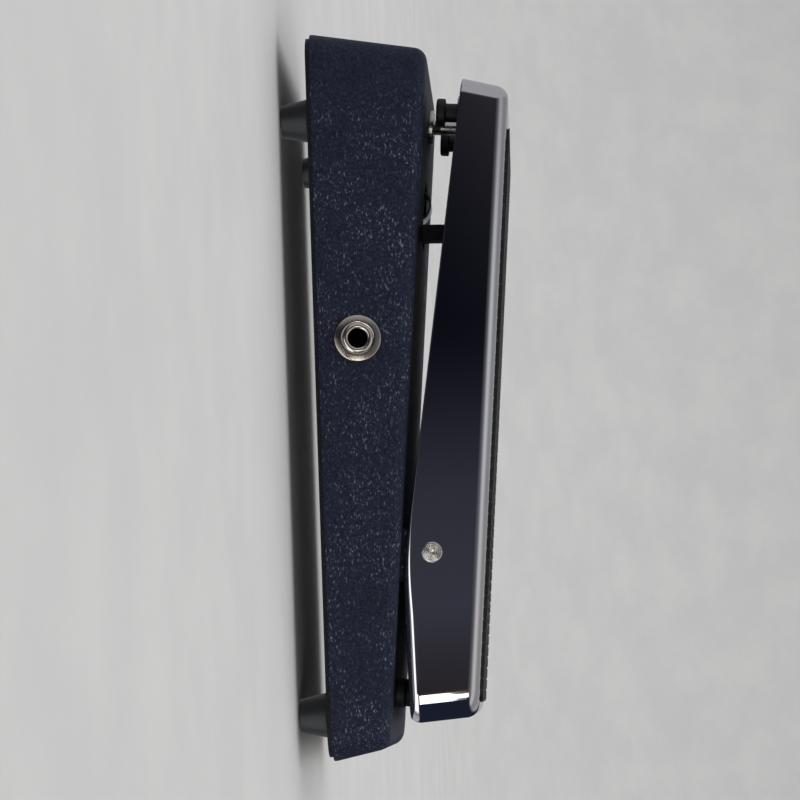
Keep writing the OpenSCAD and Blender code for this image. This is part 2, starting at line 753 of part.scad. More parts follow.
// end of a lug of the potentiometer
function pot_point(z) = [pot_x[0] + 1.2, pot_y - 15 * cos(slope_a) - z * sin(slope_a),
    pot_z - 15 * sin(slope_a) + z * cos(slope_a)];

module input_wire() color("#b03a2e")
    wire([jack_point(1, 5.9, 0), [10, 20, 27.5], [11, 29, 33], pot_point(5)], wire_r);

module output_wire() color("#e0d9c8")
    wire([jack_point(-1, 5.9, 0), [-6, 21, 26.5], [6, 30, 29.5], pot_point(0)], wire_r);

module ground_wire() color("#1d6b34")
    wire([pot_point(-5), [17, 32, 23], [13, 26, 17], jack_point(1, -4.8, 4.5)], wire_r);

module ground_link_wire() color("#1d6b34")
    wire([jack_point(-1, -4.8, -4.5), [-6, 10, 14.5], [6, 10, 14.5], jack_point(1, -4.8, -4.5)],
        wire_r);

// ---------------------------------------------------------------- the part

housing();
bottom_plate();
foot(-foot_x, foot_front_y);  // foot_front_left
foot(foot_x, foot_front_y);  // foot_front_right
foot(-foot_x, foot_rear_y);  // foot_rear_left
foot(foot_x, foot_rear_y);  // foot_rear_right
foot_screws();
foot_washers();
treadle();
treadle_mat();
pivot_shaft();
pivot_set_screws();
mirror([1, 0, 0]) pivot_bush();  // pivot_bush_left
pivot_bush();  // pivot_bush_right
toe_bumper(-bumper_x);  // toe_bumper_left
toe_bumper(bumper_x);  // toe_bumper_right
heel_bumper(-bumper_x);  // heel_bumper_left
heel_bumper(bumper_x);  // heel_bumper_right
toe_stop_stud();
toe_stop_collar();
toe_stop_locknut();
toe_stop_pad();
rack();
rack_screws();
tension_spring();
tension_spring_screw();
pinion_gear();
pinion_set_screw();
pot_shaft();
pot_body();
pot_lugs();
pot_washer();
pot_nut();
pot_bracket();
pot_bracket_screws();
pot_bracket_nuts();
jack_body(-1);  // output_jack_body
jack_sleeve(-1);  // output_jack_sleeve
jack_washer(-1);  // output_jack_washer
jack_nut(-1);  // output_jack_nut
jack_contacts(-1);  // output_jack_contacts
jack_body(1);  // input_jack_body
jack_sleeve(1);  // input_jack_sleeve
jack_washer(1);  // input_jack_washer
jack_nut(1);  // input_jack_nut
jack_contacts(1);  // input_jack_contacts
input_wire();
output_wire();
ground_wire();
ground_link_wire();
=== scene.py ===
"""Looks of a rocker-type foot volume pedal, built round its packed construction.

Sizes are in millimetres in the dataclasses and become metres where a mesh is made.
The frame is the construction's: +X is the player's right, +Y the toe end, +Z up.
"""

import json
import logging
import math
from dataclasses import dataclass
from enum import Enum
from typing import Callable, Iterable, Sequence

import bmesh
import bpy
from mathutils import Matrix, Vector


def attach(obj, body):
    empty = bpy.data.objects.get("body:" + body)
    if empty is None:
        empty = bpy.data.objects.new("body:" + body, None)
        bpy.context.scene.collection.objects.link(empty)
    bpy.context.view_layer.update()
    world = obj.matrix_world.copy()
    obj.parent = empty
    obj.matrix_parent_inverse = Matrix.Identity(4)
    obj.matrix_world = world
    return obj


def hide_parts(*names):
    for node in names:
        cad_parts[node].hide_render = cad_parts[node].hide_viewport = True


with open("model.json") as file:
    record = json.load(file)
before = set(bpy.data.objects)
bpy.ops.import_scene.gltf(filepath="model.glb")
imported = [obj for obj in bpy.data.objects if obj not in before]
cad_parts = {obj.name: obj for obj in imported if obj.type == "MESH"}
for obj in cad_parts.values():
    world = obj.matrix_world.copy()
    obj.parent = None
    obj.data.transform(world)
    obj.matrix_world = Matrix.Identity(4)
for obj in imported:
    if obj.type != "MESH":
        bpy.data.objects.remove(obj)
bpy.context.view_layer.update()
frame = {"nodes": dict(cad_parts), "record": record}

MM = 0.001
MERGE = 0.0005 * MM
CREASE = 32.0
log = logging.getLogger("volume_pedal")

Colour = tuple[float, float, float]
Point = tuple[float, float, float]


class Side(Enum):
    """A side of the pedal, by the sign of its X."""

    LEFT = -1
    RIGHT = 1


class Body(Enum):
    """What a piece moves with."""

    BASE = "base"
    TREADLE = "treadle"


class Pattern(Enum):
    """Surface marks that a metal part keeps from how it was made."""

    TURNED = "rings round the part's own axis"
    ROLLED = "fine lines along the sheet"
    TUMBLED = "small dents in every direction"


# ---------------------------------------------------------------- node graphs


def operator(operation: str, reflected: bool = False) -> Callable:
    """Returns a method that joins a signal and another term in a Math node.

    Args:
        operation: the node's operation.
        reflected: whether the other term comes first, as in 1 - mask.
    """

    def join(self: "Signal", other: "Signal | float") -> "Signal":
        """Adds the node."""
        return self.graph.math(operation, *((other, self) if reflected else (self, other)))
    return join


class Signal:
    """A number socket of a node graph that takes part in Python arithmetic."""

    def __init__(self, graph: "Graph", socket: bpy.types.NodeSocket) -> None:
        """Args: graph: the graph that the socket is in. socket: the output to wrap."""
        self.graph = graph
        self.socket = socket

    __add__ = __radd__ = operator("ADD")
    __mul__ = __rmul__ = operator("MULTIPLY")
    __sub__, __rsub__ = operator("SUBTRACT"), operator("SUBTRACT", True)
    __truediv__, __rtruediv__ = operator("DIVIDE"), operator("DIVIDE", True)

    def __neg__(self) -> "Signal":
        """Opposite."""
        return self * -1.0

    def ease(self, low: "Signal | float", high: "Signal | float") -> "Signal":
        """Returns a smooth step from 0 at low to 1 at high."""
        node = self.graph.node("ShaderNodeMapRange", {"interpolation_type": "SMOOTHSTEP"},
                               {"Value": self, "From Min": low, "From Max": high})
        return Signal(self.graph, node.outputs["Result"])


Feed = Signal | bpy.types.NodeSocket | float | int | bool | str | Sequence[float]


class Graph:
    """A node tree of a material, a world or a geometry modifier, written as expressions."""

    def __init__(self, tree: bpy.types.NodeTree) -> None:
        """Args: tree: the tree to fill, which is emptied first."""
        self.tree = tree
        tree.nodes.clear()

    def node(self, kind: str, settings: dict | None = None,
             feeds: dict[str | int, Feed] | None = None) -> bpy.types.Node:
        """Adds one node.

        Args:
            kind: Blender's name of the node's type.
            settings: properties that are set before the sockets.
            feeds: value or link for each input, by its name or number.

        Returns:
            The node.
        """
        made = self.tree.nodes.new(kind)
        for name, value in (settings or {}).items():
            setattr(made, name, value)
        for name, value in (feeds or {}).items():
            self.feed(made.inputs[name], value)
        return made

    def feed(self, socket: bpy.types.NodeSocket, value: Feed) -> None:
        """Links or sets one input, from a signal, an output socket or a plain value."""
        if isinstance(value, Signal):
            value = value.socket
        if isinstance(value, bpy.types.NodeSocket):
            self.tree.links.new(value, socket)
        elif socket.type == "RGBA" and len(value) == 3:
            socket.default_value = (*value, 1.0)
        else:
            socket.default_value = value

    def math(self, operation: str, *terms: Feed) -> Signal:
        """Adds a Math node and returns its result."""
        made = self.node("ShaderNodeMath", {"operation": operation}, dict(enumerate(terms)))
        return Signal(self, made.outputs[0])

    def vector(self, operation: str, *terms: Feed) -> "Signal | bpy.types.NodeSocket":
        """Adds a Vector Math node and returns its vector, or its number where it gives one."""
        made = self.node("ShaderNodeVectorMath", {"operation": operation}, dict(enumerate(terms)))
        if operation in ("DOT_PRODUCT", "LENGTH"):
            return Signal(self, made.outputs["Value"])
        return made.outputs[0]

    def place(self) -> bpy.types.NodeSocket:
        """Returns the place on the piece, in metres of the frame."""
        return self.node("ShaderNodeTexCoord").outputs["Object"]

    def turned(self, vector: Feed, centre: Point = (0, 0, 0), turn: Point = (0, 0, 0),
               scale: Point = (1, 1, 1)) -> bpy.types.NodeSocket:
        """Returns a place from a centre in metres, then turned by radians and stretched."""
        moved = self.vector("SUBTRACT", vector, centre)
        return self.node("ShaderNodeMapping", {"vector_type": "POINT"},
                         {"Vector": moved, "Rotation": turn, "Scale": scale}).outputs[0]

    def axes(self, vector: Feed) -> tuple[Signal, Signal, Signal]:
        """Returns the three coordinates of a place."""
        split = self.node("ShaderNodeSeparateXYZ", None, {0: vector})
        return tuple(Signal(self, out) for out in split.outputs[:3])

    def noise(self, vector: Feed, size: float, detail: float = 2.0,
              roughness: float = 0.5, distortion: float = 0.0) -> Signal:
        """Returns cloud noise about 0.5, whose lumps are about size metres wide."""
        made = self.node("ShaderNodeTexNoise", {"noise_dimensions": "3D"},
                         {"Vector": vector, "Scale": 1 / size, "Detail": detail,
                          "Roughness": roughness, "Distortion": distortion})
        return Signal(self, made.outputs[0])

    def cells(self, vector: Feed, size: float, feature: str = "F1") -> Signal:
        """Returns the distance to the nearest of random points about size metres apart."""
        made = self.node("ShaderNodeTexVoronoi", {"feature": feature},
                         {"Vector": vector, "Scale": 1 / size})
        return Signal(self, made.outputs["Distance"])

    def blend(self, share: Feed, low: Feed, high: Feed) -> bpy.types.NodeSocket:
        """Mixes two colours, of which share 0 gives the low one and 1 the high one."""
        made = self.node("ShaderNodeMix", {"data_type": "RGBA"}, {0: share, 6: low, 7: high})
        return made.outputs[2]

    def relief(self, height: Feed, depth: float, strength: float = 1.0) -> bpy.types.NodeSocket:
        """Returns the normal of a surface whose height, from 0 to 1, stands for depth metres."""
        return self.node("ShaderNodeBump", None, {"Height": height, "Distance": depth,
                                                  "Strength": strength}).outputs[0]


# ---------------------------------------------------------------- finishes


@dataclass(frozen=True)
class Finish:
    """A surface finish that becomes one material."""

    name: str
    colour: Colour

    def shade(self, graph: Graph) -> dict[str, Feed]:
        """Returns what feeds the shader's sockets, by name."""
        raise NotImplementedError

    def material(self) -> bpy.types.Material:
        """Returns the material, made once."""
        found = bpy.data.materials.get("finish_" + self.name)
        if found:
            return found
        made = bpy.data.materials.new("finish_" + self.name)
        made.use_nodes = True
        graph = Graph(made.node_tree)
        shader = graph.node("ShaderNodeBsdfPrincipled", None, self.shade(graph))
        graph.node("ShaderNodeOutputMaterial", None, {"Surface": shader.outputs[0]})
        return made


@dataclass(frozen=True)
class WrinkleCoat(Finish):
    """Black powder coat with a wrinkled skin, and painted glints: bright strokes in its colour, partly
    on the skin's crests.
    """

    # crest is the colour of the painted glints, the bright strokes mixed into the base colour
    crest: Colour = (0.185, 0.205, 0.265)
    grain: float = 0.95
    depth: float = 0.20
    gloss: float = 0.50
    painted_glints: float = 1.0
    # the painted glints fade out between these two places along Y, towards the toe; the relief does
    # not change there
    glint_fade_from: float = 84.0
    glint_fade_to: float = 112.0

    def shade(self, graph: Graph) -> dict[str, Feed]:
        """Returns what feeds the shader's sockets."""
        place = graph.place()
        folds = graph.noise(place, self.grain * MM, 3.0, 0.62, 0.9)
        beads = graph.cells(place, self.grain * 1.25 * MM, "SMOOTH_F1")
        cloud = graph.noise(place, 16 * MM, 3.0, 0.55)
        height = folds * 0.75 + (0.55 - beads) * 0.45
        crest = height.ease(0.47, 0.62)
        # painted glints: short bright strokes, a little more on the crests, mixed into the base colour
        painted_glint_strokes = graph.noise(graph.turned(place, turn=(0.35, 0, 0), scale=(1, 0.42, 1)),
                              self.grain * 0.60 * MM, 1.0, 0.5)
        _, along, _ = graph.axes(place)
        # fewer painted glints towards the toe end
        toe_glint_fade = along.ease(self.glint_fade_from * MM, self.glint_fade_to * MM)
        share = (0.3 + 0.7 * cloud.ease(0.38, 0.6)) * (1 - 0.8 * toe_glint_fade)
        painted_glint = (painted_glint_strokes.ease(0.60, 0.74) + 0.12 * crest) * share * self.painted_glints
        # the skin's colour: a random cloud, plus painted light and shade that make the folds' crests
        # lighter and their hollows darker
        painted_relief_shade_and_mottle = 0.3 * cloud + 0.7 * folds.ease(0.36, 0.64)
        skin = graph.blend(painted_relief_shade_and_mottle, tuple(0.5 * c for c in self.colour),
                           tuple(2.0 * c for c in self.colour))
        return {
            "Base Color": graph.blend(painted_glint, skin, self.crest),
            "Roughness": self.gloss + 0.16 * cloud - 0.10 * crest,
            "IOR": 1.32,
            "Normal": graph.relief(height, self.depth * MM, 0.8),
        }


@dataclass(frozen=True)
class MirrorPlate(Finish):
    """Bright chrome over a polished casting, with the faint waves of the polishing wheel."""

    def shade(self, graph: Graph) -> dict[str, Feed]:
        """Returns what feeds the shader's sockets."""
        place = graph.place()
        waves = graph.noise(graph.turned(place, scale=(1, 0.35, 1)), 34 * MM, 1.5, 0.45)
        film = graph.noise(place, 22 * MM, 4.0, 0.6).ease(0.52, 0.78)
        specks = 1 - graph.cells(place, 7 * MM).ease(0.02, 0.05)
        return {
            "Base Color": graph.blend(film * 0.5, self.colour, tuple(0.93 * c for c in self.colour)),
            "Metallic": 1.0,
            "Roughness": 0.035 + 0.045 * film + 0.1 * specks,
            "Normal": graph.relief(waves, 0.10 * MM, 0.35),
        }


@dataclass(frozen=True)
class Elastomer(Finish):
    """Moulded rubber: satin, with a fine bloom and a little dust."""

    dust: Colour = (0.05, 0.052, 0.055)
    gloss: float = 0.46
    grain: float = 0.35
    dusty: float = 0.25

    def shade(self, graph: Graph) -> dict[str, Feed]:
        """Returns what feeds the shader's sockets."""
        place = graph.place()
        bloom = graph.noise(place, 5 * MM, 4.0, 0.6)
        skin = graph.noise(place, self.grain * MM, 2.0, 0.6)
        lint = graph.noise(place, 1.4 * MM, 1.0).ease(0.68, 0.8) * self.dusty
        return {
            "Base Color": graph.blend(bloom.ease(0.45, 0.8) * self.dusty + lint * 0.6,
                                      self.colour, self.dust),
            "Roughness": self.gloss + 0.18 * bloom - 0.05 * skin,
            "Normal": graph.relief(skin, 0.03 * MM, 0.6),
        }


@dataclass(frozen=True)
class Metal(Finish):
    """A bare or plated metal with the marks of how it was made."""

    pattern: Pattern = Pattern.TUMBLED
    gloss: float = 0.25
    pitch: float = 0.35
    depth: float = 0.02
    stain: float = 0.35
    centre: Point = (0, 0, 0)
    turn: Point = (0, 0, 0)
    lines: float = 0.0
    line_pitch: float = 0.07

    def marks(self, graph: Graph, place: Feed) -> Signal:
        """Returns the marks' height, from 0 to 1."""
        own = graph.turned(place, self.centre, self.turn)
        if self.pattern is Pattern.TURNED:
            x, y, _ = graph.axes(own)
            radius = graph.math("SQRT", x * x + y * y)
            wander = graph.noise(own, 0.9 * MM, 2.0) * 0.5
            return graph.math("SINE", radius * (2 * math.pi / (self.pitch * MM)) + wander) * 0.5 + 0.5
        if self.pattern is Pattern.ROLLED:
            return graph.noise(graph.turned(place, scale=(1, 0.04, 1)), self.pitch * MM, 3.0, 0.6)
        return graph.noise(place, self.pitch * MM, 3.0, 0.6)

    def lined(self, graph: Graph, place: Feed, normal: Feed) -> bpy.types.NodeSocket:
        """Tilts a normal by the tool lines of a turned face, which are finer than the eye sees.

        Args:
            graph: the material's graph.
            place: the place on the piece.
            normal: the normal so far.

        Returns:
            The normal with the lines, whose steepest slope is the finish's lines.
        """
        axis = Matrix.Rotation(-self.turn[1], 3, "Y") @ Vector((0, 0, 1))
        arm = graph.vector("SUBTRACT", place, self.centre)
        along = graph.vector("DOT_PRODUCT", arm, tuple(axis))
        across = graph.vector("SUBTRACT", arm, graph.vector("MULTIPLY", tuple(axis), along))
        radius = graph.vector("LENGTH", across)
        tilt = graph.math("SINE", radius * (2 * math.pi / (self.line_pitch * MM))) * self.lines
        swing = graph.vector("MULTIPLY", graph.vector("NORMALIZE", across), tilt)
        return graph.vector("NORMALIZE", graph.vector("ADD", normal, swing))

    def shade(self, graph: Graph) -> dict[str, Feed]:
        """Returns what feeds the shader's sockets."""
        place = graph.place()
        tarnish = graph.noise(place, 2.6 * MM, 4.0, 0.6).ease(0.42, 0.8)
        marks = self.marks(graph, place)
        normal = graph.relief(marks, self.depth * MM, 0.6)
        if self.lines:
            normal = self.lined(graph, place, normal)
        return {
            "Base Color": graph.blend(tarnish * self.stain, self.colour,
                                      tuple(0.5 * c for c in self.colour)),
            "Metallic": 1.0,
            "Roughness": self.gloss + 0.22 * self.stain * tarnish + 0.05 * marks,
            "Normal": normal,
        }


@dataclass(frozen=True)
class Moulded(Finish):
    """Injection-moulded plastic, or fibre, with a faint flow and fine spark texture."""

    gloss: float = 0.38
    grain: float = 0.4
    depth: float = 0.015
    flow: float = 0.2

    def shade(self, graph: Graph) -> dict[str, Feed]:
        """Returns what feeds the shader's sockets."""
        place = graph.place()
        flow = graph.noise(graph.turned(place, scale=(1, 0.4, 1)), 6 * MM, 3.0, 0.55)
        skin = graph.noise(place, self.grain * MM, 2.0, 0.5)
        return {
            "Base Color": graph.blend(flow * self.flow, self.colour,
                                      tuple(min(1.0, 1.6 * c + 0.01) for c in self.colour)),
            "Roughness": self.gloss + 0.15 * flow + 0.06 * skin,
            "Normal": graph.relief(skin, self.depth * MM, 0.5),
        }


JACK_TURN = math.radians(83)

FINISHES: dict[str, Finish] = {made.name: made for made in (
    WrinkleCoat("housing_coat", (0.0105, 0.0138, 0.032)),
    # the plate's coat carries fainter painted glints
    WrinkleCoat("plate_coat", (0.010, 0.010, 0.012), grain=0.6, depth=0.06, painted_glints=0.3),
    MirrorPlate("chrome", (0.66, 0.665, 0.69)),
    Elastomer("foot_rubber", (0.020, 0.0235, 0.029), gloss=0.38),
    Elastomer("mat_rubber", (0.010, 0.0105, 0.012), gloss=0.6, grain=0.5, dusty=0.4),
    Elastomer("bumper_rubber", (0.008, 0.0085, 0.010), gloss=0.5, dusty=0.15),
    Metal("bronze", (0.50, 0.34, 0.16), Pattern.TUMBLED, gloss=0.34, pitch=0.25, depth=0.03),
    Metal("turned_steel", (0.62, 0.59, 0.53), Pattern.TUMBLED, gloss=0.2, pitch=0.5),
    Metal("black_steel", (0.045, 0.046, 0.05), Pattern.TUMBLED, gloss=0.4),
    Metal("spring_steel", (0.60, 0.61, 0.63), Pattern.ROLLED, gloss=0.17, pitch=0.3, stain=0.2),
    Metal("zinc_steel", (0.52, 0.53, 0.55), Pattern.TUMBLED, gloss=0.33, pitch=0.5, stain=0.4),
    *(Metal("nickel_" + side.name.lower(), (0.66, 0.62, 0.56), Pattern.TURNED, gloss=0.17,
            pitch=0.42, depth=0.008, stain=0.25, centre=(side.value * 0.0495, 0.016, 0.0248),
            turn=(0, -side.value * JACK_TURN, 0), lines=0.05) for side in Side),
    Metal("shaft_end", (0.82, 0.80, 0.75), Pattern.TURNED, gloss=0.22, pitch=0.5, depth=0.008,
          centre=(0, -0.0572, 0.0471), turn=(0, math.radians(90), 0), lines=0.235),
    Metal("contact_brass", (0.66, 0.50, 0.22), Pattern.ROLLED, gloss=0.25),
    Moulded("rack_plastic", (0.014, 0.015, 0.017), gloss=0.42),
    Moulded("gear_plastic", (0.62, 0.60, 0.52), gloss=0.35, flow=0.3),
    Moulded("jack_plastic", (0.011, 0.011, 0.012), gloss=0.3),
    Moulded("washer_fibre", (0.016, 0.016, 0.017), gloss=0.7, grain=0.25, depth=0.04),
    Moulded("wire_red", (0.42, 0.03, 0.02), gloss=0.35, grain=0.8),
    Moulded("wire_white", (0.68, 0.65, 0.56), gloss=0.35, grain=0.8),
    Moulded("wire_green", (0.02, 0.16, 0.05), gloss=0.35, grain=0.8),
)}


# ---------------------------------------------------------------- layout and meshes


@dataclass(frozen=True)
class Layout:
    """Places that several sub-assemblies share."""

    top_mid_z: float = 41.6
    top_slope: float = 0.09
    treadle_rise: float = 29.2
    pivot_y: float = -57.2
    pivot_z: float = 47.1
    toe_stop_y: float = 101.3
    heel_bumper_y: float = -104.0
    bumper_x: float = 22.0
    jack_wall: Point = (-49.49, 16.0, 24.8)
    side_draft: float = 7.0

    @property
    def slope(self) -> float:
        """Tilt of the housing's top, in radians."""
        return math.atan(self.top_slope)

    def top_z(self, y: float) -> float:
        """Returns the height of the housing's top at y."""
        return self.top_mid_z + self.top_slope * y

    def treadle_top_z(self, y: float) -> float:
        """Returns the height of the treadle's top at y."""
        return self.top_z(y) + self.treadle_rise

    def on_top(self, x: float, y: float) -> Matrix:
        """Returns the frame that stands square on the housing's top at x, y."""
        return Matrix.Translation((x, y, self.top_z(y))) @ Matrix.Rotation(self.slope, 4, "X")

    def on_jack(self, side: Side) -> Matrix:
        """Returns the frame whose Z leaves the wall along a jack's axis."""
        lean = Matrix.Rotation(math.radians(self.side_draft - 90), 4, "Y")
        left = Matrix.Translation(self.jack_wall) @ lean
        return left if side is Side.LEFT else Matrix.Scale(-1, 4, (1, 0, 0)) @ left


LAYOUT = Layout()


def mesh_of(name: str, points: Iterable[Sequence[float]],
            faces: Iterable[Sequence[int]]) -> bpy.types.Object:
    """Makes an object at the origin from points in millimetres and faces by their numbers."""
    mesh = bpy.data.meshes.new(name)
    mesh.from_pydata([tuple(MM * c for c in p) for p in points], [], [tuple(f) for f in faces])
    made = bpy.data.objects.new(name, mesh)
    bpy.context.scene.collection.objects.link(made)
    return made


def finished(piece: bpy.types.Object, crease: float = CREASE) -> bpy.types.Object:
    """Merges doubled vertices, turns the faces outwards and shades the piece."""
    work = bmesh.new()
    work.from_mesh(piece.data)
    bmesh.ops.remove_doubles(work, verts=work.verts, dist=MERGE)
    bmesh.ops.dissolve_degenerate(work, edges=work.edges, dist=1e-7)
    bmesh.ops.recalc_face_normals(work, faces=work.faces)
    work.to_mesh(piece.data)
    work.free()
    shade_surface(piece, crease)
    return piece


def shade_surface(piece: bpy.types.Object, crease: float = CREASE) -> None:
    """Smooths the shading up to a crease angle and keeps flat faces flat."""
    piece.data.shade_smooth()
    piece.data.set_sharp_from_angle(angle=math.radians(crease))
    modifier = piece.modifiers.new("even_light", "WEIGHTED_NORMAL")
    modifier.keep_sharp = True
    modifier.weight = 60
    bake_modifiers(piece)


def bake_modifiers(piece: bpy.types.Object) -> None:
    """Turns the piece's modifiers into its plain mesh."""
    bpy.context.view_layer.update()
    evaluated = piece.evaluated_get(bpy.context.evaluated_depsgraph_get())
    mesh = bpy.data.meshes.new_from_object(evaluated)
    piece.modifiers.clear()
    old, piece.data = piece.data, mesh
    mesh.name = piece.name
    bpy.data.meshes.remove(old)


def lathe(name: str, outline: Sequence[tuple[float, float]], place: Matrix,
          steps: int = 96, crease: float = CREASE) -> bpy.types.Object:
    """Turns an outline round the Z axis of a frame.

    Args:
        name: the object's name.
        outline: closed outline of radius and height in millimetres. Where it
            touches the axis, the two ends are on it.
        place: the frame, in millimetres.
        steps: number of steps round.
        crease: angle from which an edge stays sharp.

    Returns:
        The turned piece.
    """
    rows = len(outline)
    ring = arc((0, 0), 1.0, 0, 360, steps)[:-1]
    points = [place @ Vector((r * c, r * s, z)) for c, s in ring for r, z in outline]
    faces = [(k * rows + i, ((k + 1) % steps) * rows + i,
              ((k + 1) % steps) * rows + (i + 1) % rows, k * rows + (i + 1) % rows)
             for k in range(steps) for i in range(rows)
             if outline[i][0] > 0 or outline[(i + 1) % rows][0] > 0]
    return finished(mesh_of(name, points, faces), crease)


def loft(name: str, rows: Sequence[Sequence[Vector]], crease: float = CREASE) -> bpy.types.Object:
    """Makes a closed piece from rows of points that each go once round it.

    Args:
        name: the object's name.
        rows: the rows in millimetres. The first and the last are closed with a face.
        crease: angle from which an edge stays sharp.

    Returns:
        The piece.
    """
    count = len(rows[0])
    faces: list[tuple[int, ...]] = [tuple(row * count + k for k in range(count))
                                    for row in (0, len(rows) - 1)]
    faces += [(i * count + k, (i + 1) * count + k, (i + 1) * count + (k + 1) % count,
               i * count + (k + 1) % count)
              for i in range(len(rows) - 1) for k in range(count)]
    return finished(mesh_of(name, [p for row in rows for p in row], faces), crease)


def arc(centre: tuple[float, float], radius: float, start: float, end: float,
        steps: int = 6) -> list[tuple[float, float]]:
    """Returns points of an arc, between two angles in degrees."""
    return [(centre[0] + radius * math.cos(math.radians(start + (end - start) * i / steps)),
             centre[1] + radius * math.sin(math.radians(start + (end - start) * i / steps)))
            for i in range(steps + 1)]


def smooth_copy(node: str, name: str) -> bpy.types.Object:
    """Makes a copy of a node whose flat and rounded faces shade without steps.

    Args:
        node: the node's name.
        name: the new object's name.

    Returns:
        The copy.
    """
    mesh = frame["nodes"][node].data.copy()
    mesh.materials.clear()
    made = bpy.data.objects.new(name, mesh)
    bpy.context.scene.collection.objects.link(made)
    work = bmesh.new()
    work.from_mesh(mesh)
    for layer in list(work.loops.layers.float_vector.values()):
        if layer.name == "custom_normal":
            work.loops.layers.float_vector.remove(layer)
    bmesh.ops.remove_doubles(work, verts=work.verts, dist=2e-6)
    bmesh.ops.dissolve_limit(work, angle_limit=math.radians(0.2), verts=work.verts, edges=work.edges)
    work.to_mesh(mesh)
    work.free()
    shade_surface(made)
    return made


def dress(piece: bpy.types.Object, body: Body, finish: str,
          stands_for: Sequence[str] = ()) -> None:
    """Gives a finished mesh its finish and its body.

    Args:
        piece: the object.
        body: what it moves with.
        finish: name of its finish.
        stands_for: nodes that it replaces.
    """
    piece.data.materials.clear()
    piece.data.materials.append(FINISHES[finish].material())
    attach(piece, body.value)
    if stands_for:
        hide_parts(*stands_for)
    log.info("%s: %d faces, finish %s", piece.name, len(piece.data.polygons), finish)


# ---------------------------------------------------------------- geometry nodes


class Repeater:
    """A geometry node tree with named inputs that becomes a plain mesh."""

    def __init__(self, name: str, inputs: dict[str, float | bpy.types.Material]) -> None:
        """Args: name: the tree's name. inputs: value of each named input."""
        self.name = name
        self.values = inputs
        tree = bpy.data.node_groups.new(name, "GeometryNodeTree")
        self.graph = Graph(tree)
        face = tree.interface
        face.new_socket("Geometry", in_out="INPUT", socket_type="NodeSocketGeometry")
        self.identifiers: dict[str, str] = {}
        for label, value in inputs.items():
            kind = "Material" if isinstance(value, bpy.types.Material) else "Float"
            socket = face.new_socket(label, in_out="INPUT", socket_type="NodeSocket" + kind)
            self.identifiers[label] = socket.identifier
        face.new_socket("Geometry", in_out="OUTPUT", socket_type="NodeSocketGeometry")
        self.source = self.graph.node("NodeGroupInput")

    def value(self, label: str) -> Signal:
        """Returns a named input of the tree."""
        return Signal(self.graph, self.source.outputs[label])

    def vector(self, x: Feed = 0.0, y: Feed = 0.0, z: Feed = 0.0) -> bpy.types.NodeSocket:
        """Returns a vector of three feeds."""
        return self.graph.node("ShaderNodeCombineXYZ", None, {0: x, 1: y, 2: z}).outputs[0]

    def moved(self, part: bpy.types.Node, **feeds: Feed) -> bpy.types.Node:
        """Adds a Transform Geometry node behind another node."""
        return self.graph.node("GeometryNodeTransform", None, {"Geometry": part.outputs[0], **feeds})

    def close(self, last: bpy.types.Node) -> None:
        """Ends the tree in Realize Instances and Set Material."""
        real = self.graph.node("GeometryNodeRealizeInstances", None, {0: last.outputs[0]})
        painted = self.graph.node("GeometryNodeSetMaterial", None,
                                  {0: real.outputs[0], "Material": self.value("Material")})
        self.graph.node("NodeGroupOutput", None, {0: painted.outputs[0]})

    def run(self, name: str, points: Iterable[Sequence[float]],
            place: Matrix) -> bpy.types.Object:
        """Evaluates the tree on a set of points.

        Args:
            name: the new object's name.
            points: vertices that the tree gets, in millimetres.
            place: frame that the result is moved to, in millimetres.

        Returns:
            The plain mesh object.
        """
        made = mesh_of(name, points, [])
        modifier = made.modifiers.new(self.name, "NODES")
        modifier.node_group = self.graph.tree
        for label, identifier in self.identifiers.items():
            modifier[identifier] = self.values[label]
        bake_modifiers(made)
        moved = place.copy()
        moved.translation = moved.translation * MM
        made.data.transform(moved)
        return finished(made)


# ---------------------------------------------------------------- sub-assemblies


